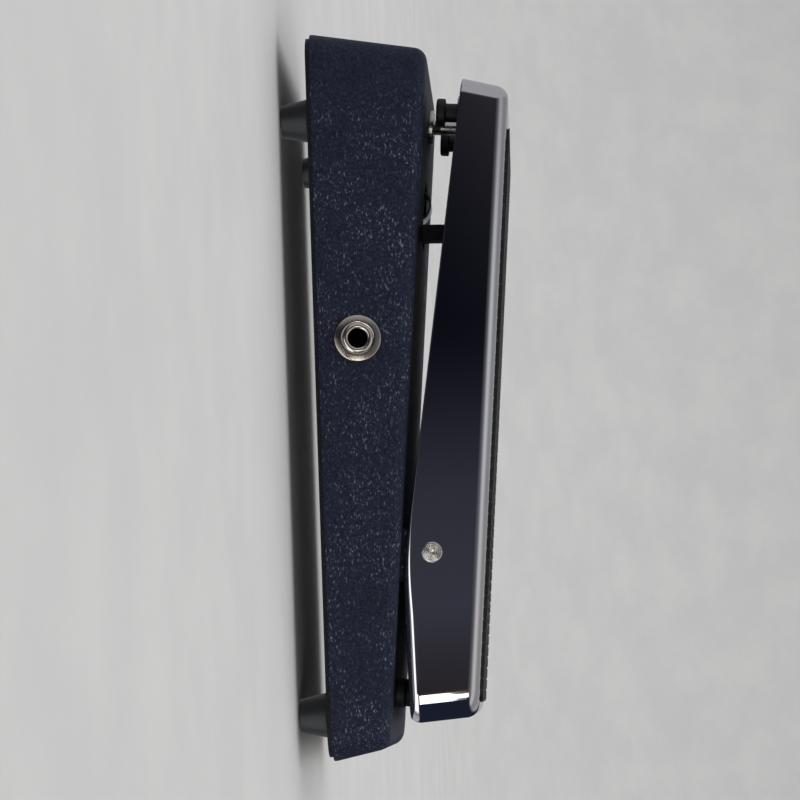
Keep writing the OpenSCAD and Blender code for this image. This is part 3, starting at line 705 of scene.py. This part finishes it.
@dataclass
class TreadleCasting:
    """The chrome-plated rocker: a hollow casting with a bent lower edge."""

    top_half_w: float = 41.0
    low_half_w: float = 43.0
    top_ends: tuple[float, float] = (-113.8, 105.8)
    low_ends: tuple[float, float] = (-114.5, 108.8)
    corners: tuple[float, float] = (10.0, 7.0)
    wall: float = 3.2
    top_t: float = 4.0
    edge_r: float = 5.0
    low_radii: tuple[float, float] = (4.5, 0.6)
    lip_r: float = 0.8
    lip_turn: float = 48.0
    low_radius_ys: tuple[float, float] = (-80.0, -40.0)
    bend_y: float = -64.5
    bend_z: float = 37.0
    heel_lift: float = 0.45
    heel_run: float = 40.0
    lower_angle: float = 8.9
    bend_soft: float = 9.0
    clamp_x: float = 28.0
    clamp_t: float = 6.0
    clamp_r: float = 7.0
    side_steps: int = 56
    arc_steps: int = 14

    def lower(self, y: float) -> tuple[float, float]:
        """Returns the height and the slope of the lower edge at y."""
        rise, soft = math.tan(math.radians(self.lower_angle)), self.bend_soft
        t = y - self.bend_y
        if t <= -soft:
            fall = -self.heel_lift / self.heel_run
            return self.bend_z + fall * (t + soft), fall
        if t >= soft:
            return self.bend_z + rise * t, rise
        return self.bend_z + rise * (t + soft) ** 2 / (4 * soft), rise * (t + soft) / (2 * soft)

    def low_radius(self, y: float) -> float:
        """Returns the rounding of the lower edge at y: full at the heel, crisp at the toe."""
        (heel_r, toe_r), (start, end) = self.low_radii, self.low_radius_ys
        share = min(1.0, max(0.0, (y - start) / (end - start)))
        return heel_r + (toe_r - heel_r) * share * share * (3 - 2 * share)

    def outline(self, half_w: float, ends: tuple[float, float],
                offset: float) -> list[tuple[float, float, float, float]]:
        """Walks round one level of the casting.

        Args:
            half_w: half width of the level.
            ends: heel and toe of the level.
            offset: how far inside the level's outline the walk goes.

        Returns:
            Place and outward direction of each station: x, y, nx, ny.
        """
        (heel, toe), (heel_r, toe_r) = ends, self.corners
        low, high, steps = heel + heel_r, toe - toe_r, self.side_steps
        walk = [(half_w - offset, low + (high - low) * i / steps, 1.0, 0.0) for i in range(steps + 1)]
        toe_turn, heel_turn = (
            [(half_w - radius + (radius - offset) * c, middle + (radius - offset) * s, c, s)
             for c, s in arc((0, 0), 1.0, start, start + 90, self.arc_steps)]
            for middle, radius, start in ((high, toe_r, 0), (low, heel_r, -90)))
        walk = [((half_w - heel_r) * x, heel + offset, 0.0, -1.0) for x in (0.2, 0.6)] \
            + heel_turn[:-1] + walk + toe_turn[1:] \
            + [((half_w - toe_r) * x, toe - offset, 0.0, 1.0) for x in (0.6, 0.2)]
        return walk + [(-x, y, -nx, ny) for x, y, nx, ny in reversed(walk)]

    def rings(self) -> list[list[Vector]]:
        """Returns the closed rows of points, from the top's middle over the lip to its underside."""
        slope = LAYOUT.slope
        top = self.outline(self.top_half_w, self.top_ends, self.edge_r)
        low = self.outline(self.low_half_w, self.low_ends, 0.0)
        up = Vector((0, -math.sin(slope), math.cos(slope)))
        turn = math.radians(self.lip_turn)
        columns = []
        for (tx, ty, nx, ny), (lx, ly, _, _) in zip(top, low):
            out = Vector((nx, ny * math.cos(slope), ny * math.sin(slope)))
            centre = Vector((tx, ty, LAYOUT.treadle_top_z(ty))) - self.edge_r * up
            wide_r = self.low_radius(ly)
            lip_r = min(self.lip_r, wide_r)
            lx, ly = lx - wide_r * nx, ly - wide_r * ny
            edge_z, edge_slope = self.lower(ly)
            lean = math.atan(edge_slope)
            low_up = Vector((0, -math.sin(lean), math.cos(lean)))
            low_out = Vector((nx, ny * math.cos(lean), ny * math.sin(lean)))
            step = wide_r - lip_r
            low_centre = Vector((lx, ly, edge_z)) + (lip_r + step * math.sin(turn)) * low_up
            lip_centre = low_centre + step * (math.cos(turn) * low_out - math.sin(turn) * low_up)
            across = Vector((nx, ny, 0)).dot(centre - low_centre)
            height = (centre - low_centre).z
            span = math.hypot(across, height)
            tangent = math.atan2(height, across) - math.acos((wide_r - self.edge_r) / span)
            column = []
            for i in range(self.arc_steps + 1):
                a = math.pi / 2 + (tangent - math.pi / 2) * i / self.arc_steps
                column.append(centre + self.edge_r * (math.cos(a) * out + math.sin(a) * up))
            for i in range(2 * self.arc_steps + 1):
                a = tangent + (-math.pi / 2 - tangent) * i / (2 * self.arc_steps)
                middle, radius = (low_centre, wide_r) if a > -turn else (lip_centre, lip_r)
                column.append(middle + radius * (math.cos(a) * low_out + math.sin(a) * low_up))
            inner_r = self.edge_r - self.wall
            reach = wide_r - step * math.cos(turn)
            column.append(column[-1] - max(0.3, self.wall - reach - 0.3) * low_out)
            column.append(column[-1] - 0.3 * low_out + 0.3 * low_up)
            inner = centre - (self.top_t - self.wall) * up
            for i in range(6):
                a = math.pi / 2 * i / 5
                column.append(inner + inner_r * (math.cos(a) * out + math.sin(a) * up))
            columns.append(column)
        return [list(row) for row in zip(*columns)]

    def boss(self, name: str, x: float, y: float, low: float, radius: float) -> bpy.types.Object:
        """Returns a round boss under the top, from height low over the housing's top."""
        high = LAYOUT.treadle_rise * math.cos(LAYOUT.slope) - 1.5
        outline = [(0, low), *arc((radius - 0.5, low + 0.5), 0.5, -90, 0, 4),
                   *[(radius + 1.6 - px, pz) for px, pz in
                     arc((0.0, high - 4.1), 1.6, 0, 90, 5)], (0, high - 2.5)]
        return lathe(name, outline, LAYOUT.on_top(x, y), 48)

    def clamp(self, side: Side) -> bpy.types.Object:
        """Returns the rib that clamps the shaft at one side."""
        high = LAYOUT.treadle_top_z(LAYOUT.pivot_y) - 2.0 - LAYOUT.pivot_z
        outline = [(self.clamp_r + 3, high), *arc((0, 0), self.clamp_r, 0, -180, 24),
                   (-self.clamp_r - 3, high)]
        half, edge = self.clamp_t / 2, 0.4
        sides = ((-half, edge), (edge - half, 0.0), (half - edge, 0.0), (half, edge))
        return loft("treadle_clamp_rib_" + side.name.lower(), [
            [Vector((side.value * (self.clamp_x + dx), LAYOUT.pivot_y + y * (1 - inset / self.clamp_r),
                     LAYOUT.pivot_z + z * (1 - inset / self.clamp_r))) for y, z in outline]
            for dx, inset in sides])

    def build(self) -> None:
        """Builds and dresses the casting."""
        dress(loft("treadle_shell", self.rings(), 40), Body.TREADLE, "chrome",
              stands_for=["treadle"])
        for side in Side:
            word = side.name.lower()
            x = side.value * LAYOUT.bumper_x
            for piece in (self.boss("treadle_toe_boss_" + word, x, LAYOUT.toe_stop_y, 11.0, 6.2),
                          self.boss("treadle_heel_boss_" + word, x, LAYOUT.heel_bumper_y, 8.75, 6.0),
                          self.clamp(side)):
                dress(piece, Body.TREADLE, "chrome")
        dress(self.boss("treadle_stop_boss", 0, LAYOUT.toe_stop_y, 18.35, 6.5),
              Body.TREADLE, "chrome")


@dataclass
class TreadleMat:
    """The ribbed rubber mat on the treadle."""

    ends: tuple[float, float] = (-108.2, 91.2)
    half_w: float = 36.0
    thickness: float = 1.0
    corner: float = 5.0
    roll: float = 0.3
    pitch: float = 4.0
    land: float = 3.2
    rise: float = 0.25

    def place(self) -> Matrix:
        """Returns the frame on the treadle's top at the mat's middle."""
        mid = sum(self.ends) / 2
        return (Matrix.Translation((0, mid, LAYOUT.treadle_top_z(mid)))
                @ Matrix.Rotation(LAYOUT.slope, 4, "X"))

    def length(self) -> float:
        """Returns the length along the treadle's top."""
        return (self.ends[1] - self.ends[0]) / math.cos(LAYOUT.slope)

    def slab(self) -> bpy.types.Object:
        """Returns the mat's body with a rolled upper edge."""
        shoulder = self.thickness - self.rise - self.roll
        levels = [(0.0, 0.0), (0.0, shoulder)]
        levels += [(self.roll - dx, shoulder + dz) for dx, dz in arc((0, 0), self.roll, 18, 90, 4)]
        place, x, y = self.place(), self.half_w - self.corner, self.length() / 2 - self.corner
        corners = ((x, y, 0), (-x, y, 90), (-x, -y, 180), (x, -y, 270))
        return loft("mat_slab", [
            [place @ Vector((px, py, z)) for cx, cy, start in corners
             for px, py in arc((cx, cy), self.corner - inset, start, start + 90, 8)]
            for inset, z in levels])

    def ribs(self) -> Repeater:
        """Returns the tree of the cross ribs, which shorten at the rounded corners."""
        tree = Repeater("mat_ribs", {
            "Length": self.length() * MM, "Half Width": self.half_w * MM,
            "Corner": self.corner * MM, "Pitch": self.pitch * MM, "Land": self.land * MM,
            "Rise": self.rise * MM, "Material": FINISHES["mat_rubber"].material()})
        g = tree.graph
        length, half, corner, pitch, land, rise = (tree.value(label) for label in (
            "Length", "Half Width", "Corner", "Pitch", "Land", "Rise"))
        count = g.math("FLOOR", length / pitch)
        line = g.node("GeometryNodeMeshLine", {"mode": "OFFSET"}, {
            "Count": count, "Start Location": tree.vector(y=(1 - count) * pitch * 0.5),
            "Offset": tree.vector(y=pitch)})
        profile = g.node("GeometryNodeCurvePrimitiveQuadrilateral", {"mode": "TRAPEZOID"}, {
            "Height": rise * 1.3, "Bottom Width": land * 1.1, "Top Width": land * 0.86,
            "Offset": 0.0})
        soft = g.node("GeometryNodeFilletCurve", {"mode": "POLY"}, {
            "Curve": profile.outputs[0], "Count": 4, "Radius": rise * 0.32, "Limit Radius": True})
        track = g.node("GeometryNodeCurvePrimitiveLine", {"mode": "POINTS"}, {
            "Start": tree.vector(x=-half), "End": tree.vector(x=half)})
        rib = g.node("GeometryNodeCurveToMesh", None, {
            "Curve": track.outputs[0], "Profile Curve": soft.outputs[0], "Fill Caps": True})
        lifted = tree.moved(rib, Translation=tree.vector(z=rise * 0.35))
        _, y, _ = g.axes(g.node("GeometryNodeInputPosition").outputs[0])
        past = g.math("MAXIMUM", g.math("ABSOLUTE", y) - (length * 0.5 - corner), 0.0)
        chord = g.math("SQRT", g.math("MAXIMUM", corner * corner - past * past, 0.0))
        spread = (half - corner + chord) / half
        tree.close(g.node("GeometryNodeInstanceOnPoints", None, {
            "Points": line.outputs[0], "Instance": lifted.outputs[0],
            "Scale": tree.vector(spread, 1.0, 1.0)}))
        return tree

    def build(self) -> None:
        """Builds and dresses the mat."""
        dress(self.slab(), Body.TREADLE, "mat_rubber", stands_for=["treadle_mat"])
        place = self.place() @ Matrix.Translation((0, 0, self.thickness - self.rise))
        dress(self.ribs().run("mat_ribs", [(0, 0, 0)], place), Body.TREADLE, "mat_rubber")


@dataclass
class Feet:
    """Four rubber feet with their screws; their cup washers are not made here."""

    x: float = 38.7
    ys: tuple[float, float] = (-110.6, 95.8)
    base_r: float = 7.75
    tip_r: float = 5.7
    tip_edge: float = 0.9
    height: float = 10.0
    recess_r: float = 3.9
    recess_h: float = 6.6
    screw_z: float = 5.8
    shank: tuple[float, float] = (1.95, 19.0)
    head: tuple[float, float] = (3.3, 2.3)

    def outline(self) -> list[tuple[float, float]]:
        """Returns the outline of one foot, from its recess round its side."""
        edge = self.tip_edge
        return [(self.recess_r + 0.3, 0.0), *arc((self.tip_r - edge, edge), edge, -90, 8, 8),
                (self.base_r - 0.3, self.height - 1.1),
                *arc((self.base_r - 0.5, self.height - 0.6), 0.5, 20, 90, 4),
                (2.2, self.height), (2.2, self.recess_h), (self.recess_r - 0.3, self.recess_h),
                (self.recess_r, self.recess_h - 0.3), (self.recess_r, 0.3)]

    def screws(self) -> Repeater:
        """Returns the tree of domed cross-head screws, one at each point, head down."""
        tree = Repeater("cross_head_screws", {
            "Shank Radius": self.shank[0] * MM, "Shank Length": self.shank[1] * MM,
            "Head Radius": self.head[0] * MM, "Head Height": self.head[1] * MM,
            "Material": FINISHES["zinc_steel"].material()})
        g = tree.graph
        shank, length, head, dome = (tree.value(label) for label in (
            "Shank Radius", "Shank Length", "Head Radius", "Head Height"))
        core = g.node("GeometryNodeMeshCylinder", None, {
            "Vertices": 28, "Radius": shank, "Depth": length + dome * 0.4})
        core = tree.moved(core, Translation=tree.vector(z=length * 0.5 - dome * 0.2))
        ball = g.node("GeometryNodeMeshUVSphere", None, {"Segments": 40, "Rings": 20, "Radius": 1.0})
        cut = g.node("GeometryNodeMeshBoolean", {"operation": "DIFFERENCE"}, {
            "Mesh 1": tree.moved(ball, Scale=tree.vector(head, head, dome)).outputs[0]})
        for wide, narrow, tall, lift in ((3, 3, 2, dome), (1.25, 0.26, 1.1, -dome),
                                         (0.26, 1.25, 1.1, -dome)):
            block = g.node("GeometryNodeMeshCube", None, {
                "Size": tree.vector(head * wide, head * narrow, dome * tall)})
            tool = tree.moved(block, Translation=tree.vector(z=lift))
            g.tree.links.new(tool.outputs[0], cut.inputs["Mesh 2"])
        screw = g.node("GeometryNodeJoinGeometry")
        for part in (core, cut):
            g.tree.links.new(part.outputs[0], screw.inputs[0])
        tree.close(g.node("GeometryNodeInstanceOnPoints", None, {
            "Points": tree.source.outputs["Geometry"], "Instance": screw.outputs[0]}))
        return tree

    def build(self) -> None:
        """Builds and dresses the feet and their screws."""
        for x in Side:
            for word, y in zip(("rear", "front"), self.ys):
                node = f"foot_{word}_{x.name.lower()}"
                place = Matrix.Translation((x.value * self.x, y, 0))
                dress(lathe(node + "_rubber", self.outline(), place), Body.BASE, "foot_rubber",
                      stands_for=[node])
        spots = [(s.value * self.x, y, self.screw_z) for s in Side for y in self.ys]
        dress(self.screws().run("foot_screw_set", spots, Matrix.Identity(4)), Body.BASE,
              "zinc_steel", stands_for=["foot_screws"])


@dataclass
class JackFace:
    """What shows of a jack outside: its domed nut and the mouth of its sleeve."""

    side: Side
    bore: float = 3.2
    sleeve_r: float = 5.2
    sleeve_ends: tuple[float, float] = (-9.6, 2.4)
    nut_r: float = 8.0
    nut_t: float = 1.8
    crest_in: float = 2.19
    crest_r: float = 0.8
    dome_r: float = 15.2
    dome_span: tuple[float, float] = (76.0, 83.0)
    rim_r: float = 0.35
    washer_t: float = 0.4

    def sleeve(self) -> list[tuple[float, float]]:
        """Returns the outline of the threaded sleeve."""
        low, high = self.sleeve_ends
        return [(self.bore, low), (self.sleeve_r, low), (self.sleeve_r, high - 0.5),
                *arc((self.bore + 1.0, high - 1.0), 1.0, 60, 180, 12)]

    def nut(self) -> list[tuple[float, float]]:
        """Returns the outline of the domed nut."""
        bore, low, (steep, gentle) = self.sleeve_r + 0.08, self.washer_t, self.dome_span
        crest = (self.nut_r - self.crest_in, low + self.nut_t - self.crest_r)
        dome = arc(crest, self.crest_r - self.dome_r, gentle, gentle, 1)[0]
        rim = arc(dome, self.dome_r - self.rim_r, steep, steep, 1)[0]
        return [(bore, low), (self.nut_r - 0.12, low), (self.nut_r - 0.02, low + 0.1),
                *arc(rim, self.rim_r, 0, steep), *arc(dome, self.dome_r, steep, gentle, 8)[1:],
                *arc(crest, self.crest_r, gentle, 130)[1:], (bore, low + 1.0)]

    def build(self) -> None:
        """Builds and dresses the nut and the sleeve."""
        word = "output" if self.side is Side.LEFT else "input"
        finish = "nickel_" + self.side.name.lower()
        place = LAYOUT.on_jack(self.side)
        dress(lathe(word + "_jack_bezel_nut", self.nut(), place), Body.BASE, finish,
              [word + "_jack_nut"])
        dress(lathe(word + "_jack_mouth", self.sleeve(), place), Body.BASE, finish,
              [word + "_jack_sleeve"])


@dataclass
class PivotShaft:
    """The turned shaft that the treadle tilts on."""

    radius: float = 3.5
    half_l: float = 43.2
    centre_r: float = 1.0
    centre_depth: float = 0.9
    edge: float = 0.5

    def build(self) -> None:
        """Builds and dresses the shaft."""
        end = [(0.0, self.half_l - self.centre_depth), (self.centre_r - 0.2, self.half_l - 0.15),
               (self.centre_r, self.half_l),
               *arc((self.radius - self.edge, self.half_l - self.edge), self.edge, 90, 0, 6)]
        outline = end + [(r, -z) for r, z in reversed(end)]
        place = (Matrix.Translation((0, LAYOUT.pivot_y, LAYOUT.pivot_z))
                 @ Matrix.Rotation(math.radians(90), 4, "Y"))
        dress(lathe("pivot_shaft_turned", outline, place), Body.TREADLE, "shaft_end",
              ["pivot_shaft"])


@dataclass
class Stops:
    """The rubber bumpers and the adjustable stop under the toe, and the heel's bumpers."""

    gap: float = 3.45
    head_r: float = 5.0
    head_t: float = 3.2
    neck_r: float = 3.35
    neck_top: float = 18.0
    stem_r: float = 2.2
    heel_h: float = 3.3
    stud_r: float = 2.75
    stud_ends: tuple[float, float] = (-8.0, 12.7)
    thread_top: float = 4.0
    collar_r: float = 6.2
    collar_t: float = 1.7

    def toe_outline(self) -> list[tuple[float, float]]:
        """Returns the outline of a toe bumper."""
        low, high = self.gap, self.gap + self.head_t
        return [(0, low), *arc((self.head_r - 0.9, low + 0.9), 0.9, -90, 0, 7),
                *arc((self.head_r - 0.5, high - 0.5), 0.5, 0, 90, 4),
                *[(self.neck_r + 0.5 - dx, high + 0.5 - dz) for dx, dz in arc((0, 0), 0.5, 90, 0, 4)],
                (self.neck_r, self.neck_top), (0, self.neck_top)]

    def heel_outline(self) -> list[tuple[float, float]]:
        """Returns the outline of a heel bumper with its barbed stem."""
        under = -3.05
        return [(0, under - 1.6), (self.stem_r - 0.5, under - 1.6),
                (self.stem_r + 0.8, under - 0.1), (self.stem_r + 0.7, under), (self.stem_r, under),
                (self.stem_r, 0), *arc((self.head_r - 0.3, 0.3), 0.3, -90, 0, 3),
                *arc((self.head_r - 0.9, self.heel_h - 0.9), 0.9, 0, 90, 7), (0, self.heel_h)]

    def stud_outline(self) -> list[tuple[float, float]]:
        """Returns the outline of the stud: its thread, and a plain tip above."""
        low, high = self.stud_ends
        outline = [(0, low), (self.stud_r - 0.5, low), (self.stud_r, low + 0.5)]
        z, pitch = low + 0.8, 0.8
        while z < self.thread_top:
            outline += [(self.stud_r, z), (self.stud_r - 0.28, z + pitch / 2)]
            z += pitch
        return outline + [(self.stud_r, high - 1.3),
                          *arc((self.stud_r - 0.6, high - 0.6), 0.6, 0, 90, 5), (0, high)]

    def build(self) -> None:
        """Builds and dresses the stops."""
        for side in Side:
            word, x = side.name.lower(), side.value * LAYOUT.bumper_x
            dress(lathe("toe_bumper_rubber_" + word, self.toe_outline(),
                        LAYOUT.on_top(x, LAYOUT.toe_stop_y), 64),
                  Body.TREADLE, "bumper_rubber", stands_for=["toe_bumper_" + word])
            dress(lathe("heel_bumper_rubber_" + word, self.heel_outline(),
                        LAYOUT.on_top(x, LAYOUT.heel_bumper_y), 64),
                  Body.BASE, "bumper_rubber", stands_for=["heel_bumper_" + word])
        place = LAYOUT.on_top(0, LAYOUT.toe_stop_y)
        dress(lathe("toe_stop_threaded_stud", self.stud_outline(), place, 64, 45), Body.BASE,
              "turned_steel", stands_for=["toe_stop_stud"])
        bore = self.stud_r + 0.05
        collar = [(bore, 0), (self.collar_r - 0.2, 0), (self.collar_r, 0.2),
                  *arc((self.collar_r - 0.5, self.collar_t - 0.5), 0.5, 0, 90, 5),
                  (bore + 0.3, self.collar_t), (bore, self.collar_t - 0.3)]
        dress(lathe("toe_stop_washer", collar, place, 72), Body.BASE, "turned_steel",
              stands_for=["toe_stop_collar"])


@dataclass
class HousingCasting:
    """The black cast housing and the parts whose made shape only needs an even shading."""

    copies: tuple[tuple[str, str, Body, str], ...] = (
        ("housing", "housing_casting", Body.BASE, "housing_coat"),
        ("tension_spring", "tension_spring_strip", Body.BASE, "spring_steel"),
    )

    def build(self) -> None:
        """Builds and dresses the copies, and dresses every node that still shows."""
        for node, name, body, finish in self.copies:
            dress(smooth_copy(node, name), body, finish, stands_for=[node])
        slots = {row["slot"]: row for row in frame["record"]["materials"]}
        for node, item in frame["nodes"].items():
            if item.hide_render:
                continue
            for number, material in enumerate(item.data.materials):
                name = material.name.split(".")[0]
                if name in FINISHES and name in slots:
                    item.data.materials[number] = FINISHES[name].material()
            log.info("%s: node kept, finish %s", node, item.data.materials[0].name)


# ---------------------------------------------------------------- studio


@dataclass
class Studio:
    """Floor, light and camera."""

    focal_px: float = 2200.0
    image_px: float = 800.0
    sensor: float = 36.0
    eye: Point = (-0.7884, -0.1037, 0.0752)
    right: Point = (0.0545, -0.0377, 0.9981)
    down: Point = (0.1292, -0.9909, -0.0445)
    forward: Point = (0.9901, 0.1314, -0.0491)
    floor_reach: float = 2.4
    floor_half: float = 4.0
    sweep_r: float = 0.9
    wall_top: float = 3.0

    def camera(self) -> None:
        """Adds the camera at the photograph's viewing angle."""
        data = bpy.data.cameras.new("studio_camera")
        data.sensor_width = self.sensor
        data.lens = self.sensor * self.focal_px / self.image_px
        data.clip_start, data.clip_end = 0.01, 50
        made = bpy.data.objects.new("studio_camera", data)
        bpy.context.scene.collection.objects.link(made)
        axes = Matrix((self.right, -Vector(self.down), -Vector(self.forward))).transposed()
        made.matrix_world = Matrix.Translation(self.eye) @ axes.to_4x4()
        bpy.context.scene.camera = made

    def floor(self) -> None:
        """Adds the pale floor that sweeps up to a wall far behind the pedal."""
        foot = self.floor_reach - self.sweep_r
        profile = [(-3.0, 0.0), (foot, 0.0)]
        profile += [(foot + self.sweep_r * math.sin(math.radians(6 * i)),
                     self.sweep_r * (1 - math.cos(math.radians(6 * i)))) for i in range(1, 16)]
        profile.append((self.floor_reach, self.wall_top))
        made = mesh_of("studio_floor", [(x / MM, y / MM, z / MM) for x, z in profile
                                        for y in (-self.floor_half, self.floor_half)],
                       [(2 * i, 2 * i + 2, 2 * i + 3, 2 * i + 1) for i in range(len(profile) - 1)])
        made.data.shade_smooth()
        made.visible_glossy = False
        paint = bpy.data.materials.new("studio_floor")
        paint.use_nodes = True
        graph = Graph(paint.node_tree)
        cloud = graph.noise(graph.place(), 0.07, 5.0, 0.6)
        shader = graph.node("ShaderNodeBsdfPrincipled", None, {
            "Base Color": graph.blend(cloud.ease(0.3, 0.75), (0.74, 0.74, 0.735),
                                      (0.80, 0.80, 0.79)),
            "Roughness": 0.9})
        graph.node("ShaderNodeOutputMaterial", None, {"Surface": shader.outputs[0]})
        made.data.materials.append(paint)

    def room(self) -> None:
        """Adds the room's light: pale above, dark in front of the pedal's left side."""
        world = bpy.data.worlds.new("studio_room")
        bpy.context.scene.world = world
        world.use_nodes = True
        graph = Graph(world.node_tree)
        x, y, z = graph.axes(graph.node("ShaderNodeTexCoord").outputs["Generated"])
        rad = math.radians
        bearing = graph.math("ARCTAN2", -y, -x)
        over = graph.math("ARCTAN2", graph.math("ABSOLUTE", z), -x)
        # brightness from the dark in front of the left side, over the top, to the back
        peak = 0.60 - 0.18 * y.ease(0.10, 0.19)
        level = (0.10 * over.ease(rad(11), rad(38)) + (peak - 0.10) * over.ease(rad(33), rad(61))
                 - (peak - 0.27) * over.ease(rad(64), rad(95)) + 0.10 * over.ease(rad(112), rad(140)))
        shade = graph.blend(y.ease(0.03, 0.14), (0.050, 0.050, 0.070), (0.005, 0.005, 0.010))
        shade = graph.blend(y.ease(-0.01, 0.035), (0.030, 0.027, 0.032), shade)
        shade = graph.blend(bearing.ease(rad(4), rad(9)), shade, (0.075, 0.052, 0.036))
        front = graph.blend(level, shade, (1.0, 1.0, 1.02))
        colour = graph.blend(y.ease(0.40, 0.52), front, (0.42, 0.42, 0.435))
        heelward = (bearing.ease(rad(30), rad(44)) * (1 - bearing.ease(rad(168), rad(178)))
                    * (1 - z.ease(0.35, 0.55)))
        colour = graph.blend(heelward, colour, (0.014, 0.018, 0.036))
        # the floor, as the bright metals see it: lit in front, dim beside and under the pedal
        down = -z
        start = 0.18 + 0.18 * y.ease(-0.12, -0.05)
        lit = (down.ease(start, start + 0.06) * (1 - down.ease(0.58, 0.66))
               * (1 - y.ease(0.075, 0.115)) * (1 - x.ease(-0.3, 0.1)))
        dim = (0.03 + (0.07 + 0.13 * (1 - down.ease(0.75, 0.98))) * (1 - y.ease(0.13, 0.21))
               + 0.25 * x.ease(0.0, 0.5))
        colour = graph.blend(down.ease(start - 0.06, start + 0.02), colour, graph.blend(
            lit, graph.blend(dim, (0.0, 0.0, 0.0), (1.0, 1.0, 1.02)), (1.7, 1.69, 1.66)))
        seen = graph.node("ShaderNodeLightPath").outputs["Is Camera Ray"]
        background = graph.node("ShaderNodeBackground", None, {
            "Color": graph.blend(seen, colour, (0.56, 0.555, 0.55)), "Strength": 1.0})
        graph.node("ShaderNodeOutputWorld", None, {"Surface": background.outputs[0]})

    def lamp(self, name: str, place: Point, aim: Point, size: tuple[float, float],
             radiance: float, colour: Colour = (1, 1, 1), mirrored: bool = True) -> None:
        """Adds one soft panel.

        Args:
            name: its name.
            place: its centre in metres.
            aim: point that it faces.
            size: its width and height.
            radiance: its brightness as a surface.
            colour: its colour.
            mirrored: whether it shows in reflections.
        """
        data = bpy.data.lights.new(name, "AREA")
        data.shape, data.size, data.size_y = "RECTANGLE", *size
        data.energy = radiance * math.pi * size[0] * size[1]
        data.color = colour
        made = bpy.data.objects.new(name, data)
        bpy.context.scene.collection.objects.link(made)
        made.location = place
        made.rotation_mode = "QUATERNION"
        made.rotation_quaternion = (Vector(aim) - Vector(place)).to_track_quat("-Z", "Y")
        made.visible_camera = False
        made.visible_glossy = mirrored

    def build(self) -> None:
        """Builds the studio."""
        self.camera()
        self.floor()
        self.room()
        aim = (0.0, 0.0, 0.04)
        turn, far = math.radians(31), 1.6
        for word, low, high, wide in (("lower", 0.0, 0.429, 0.94), ("upper", 0.435, 0.70, 0.44)):
            self.lamp("window_" + word, (-far * math.cos(turn), -far * math.sin(turn),
                                         (low + high) / 2), aim, (wide, high - low), 2.3,
                      (1.0, 0.98, 0.95))
        self.lamp("ceiling_panel", (0.5, 0.1, 2.2), (0.5, 0.1, 0.0), (4.0, 4.0), 0.8,
                  mirrored=False)
        bpy.context.scene.view_settings.view_transform = "Standard"
        log.info("studio: camera, floor, two window panes and a ceiling panel")


def main() -> None:
    """Builds the sub-assemblies in order."""
    logging.basicConfig(level=logging.INFO, format="%(name)s: %(message)s")
    Studio().build()
    TreadleCasting().build()
    TreadleMat().build()
    Feet().build()
    for side in Side:
        JackFace(side).build()
    PivotShaft().build()
    Stops().build()
    HousingCasting().build()


if __name__ == "__main__":
    main()
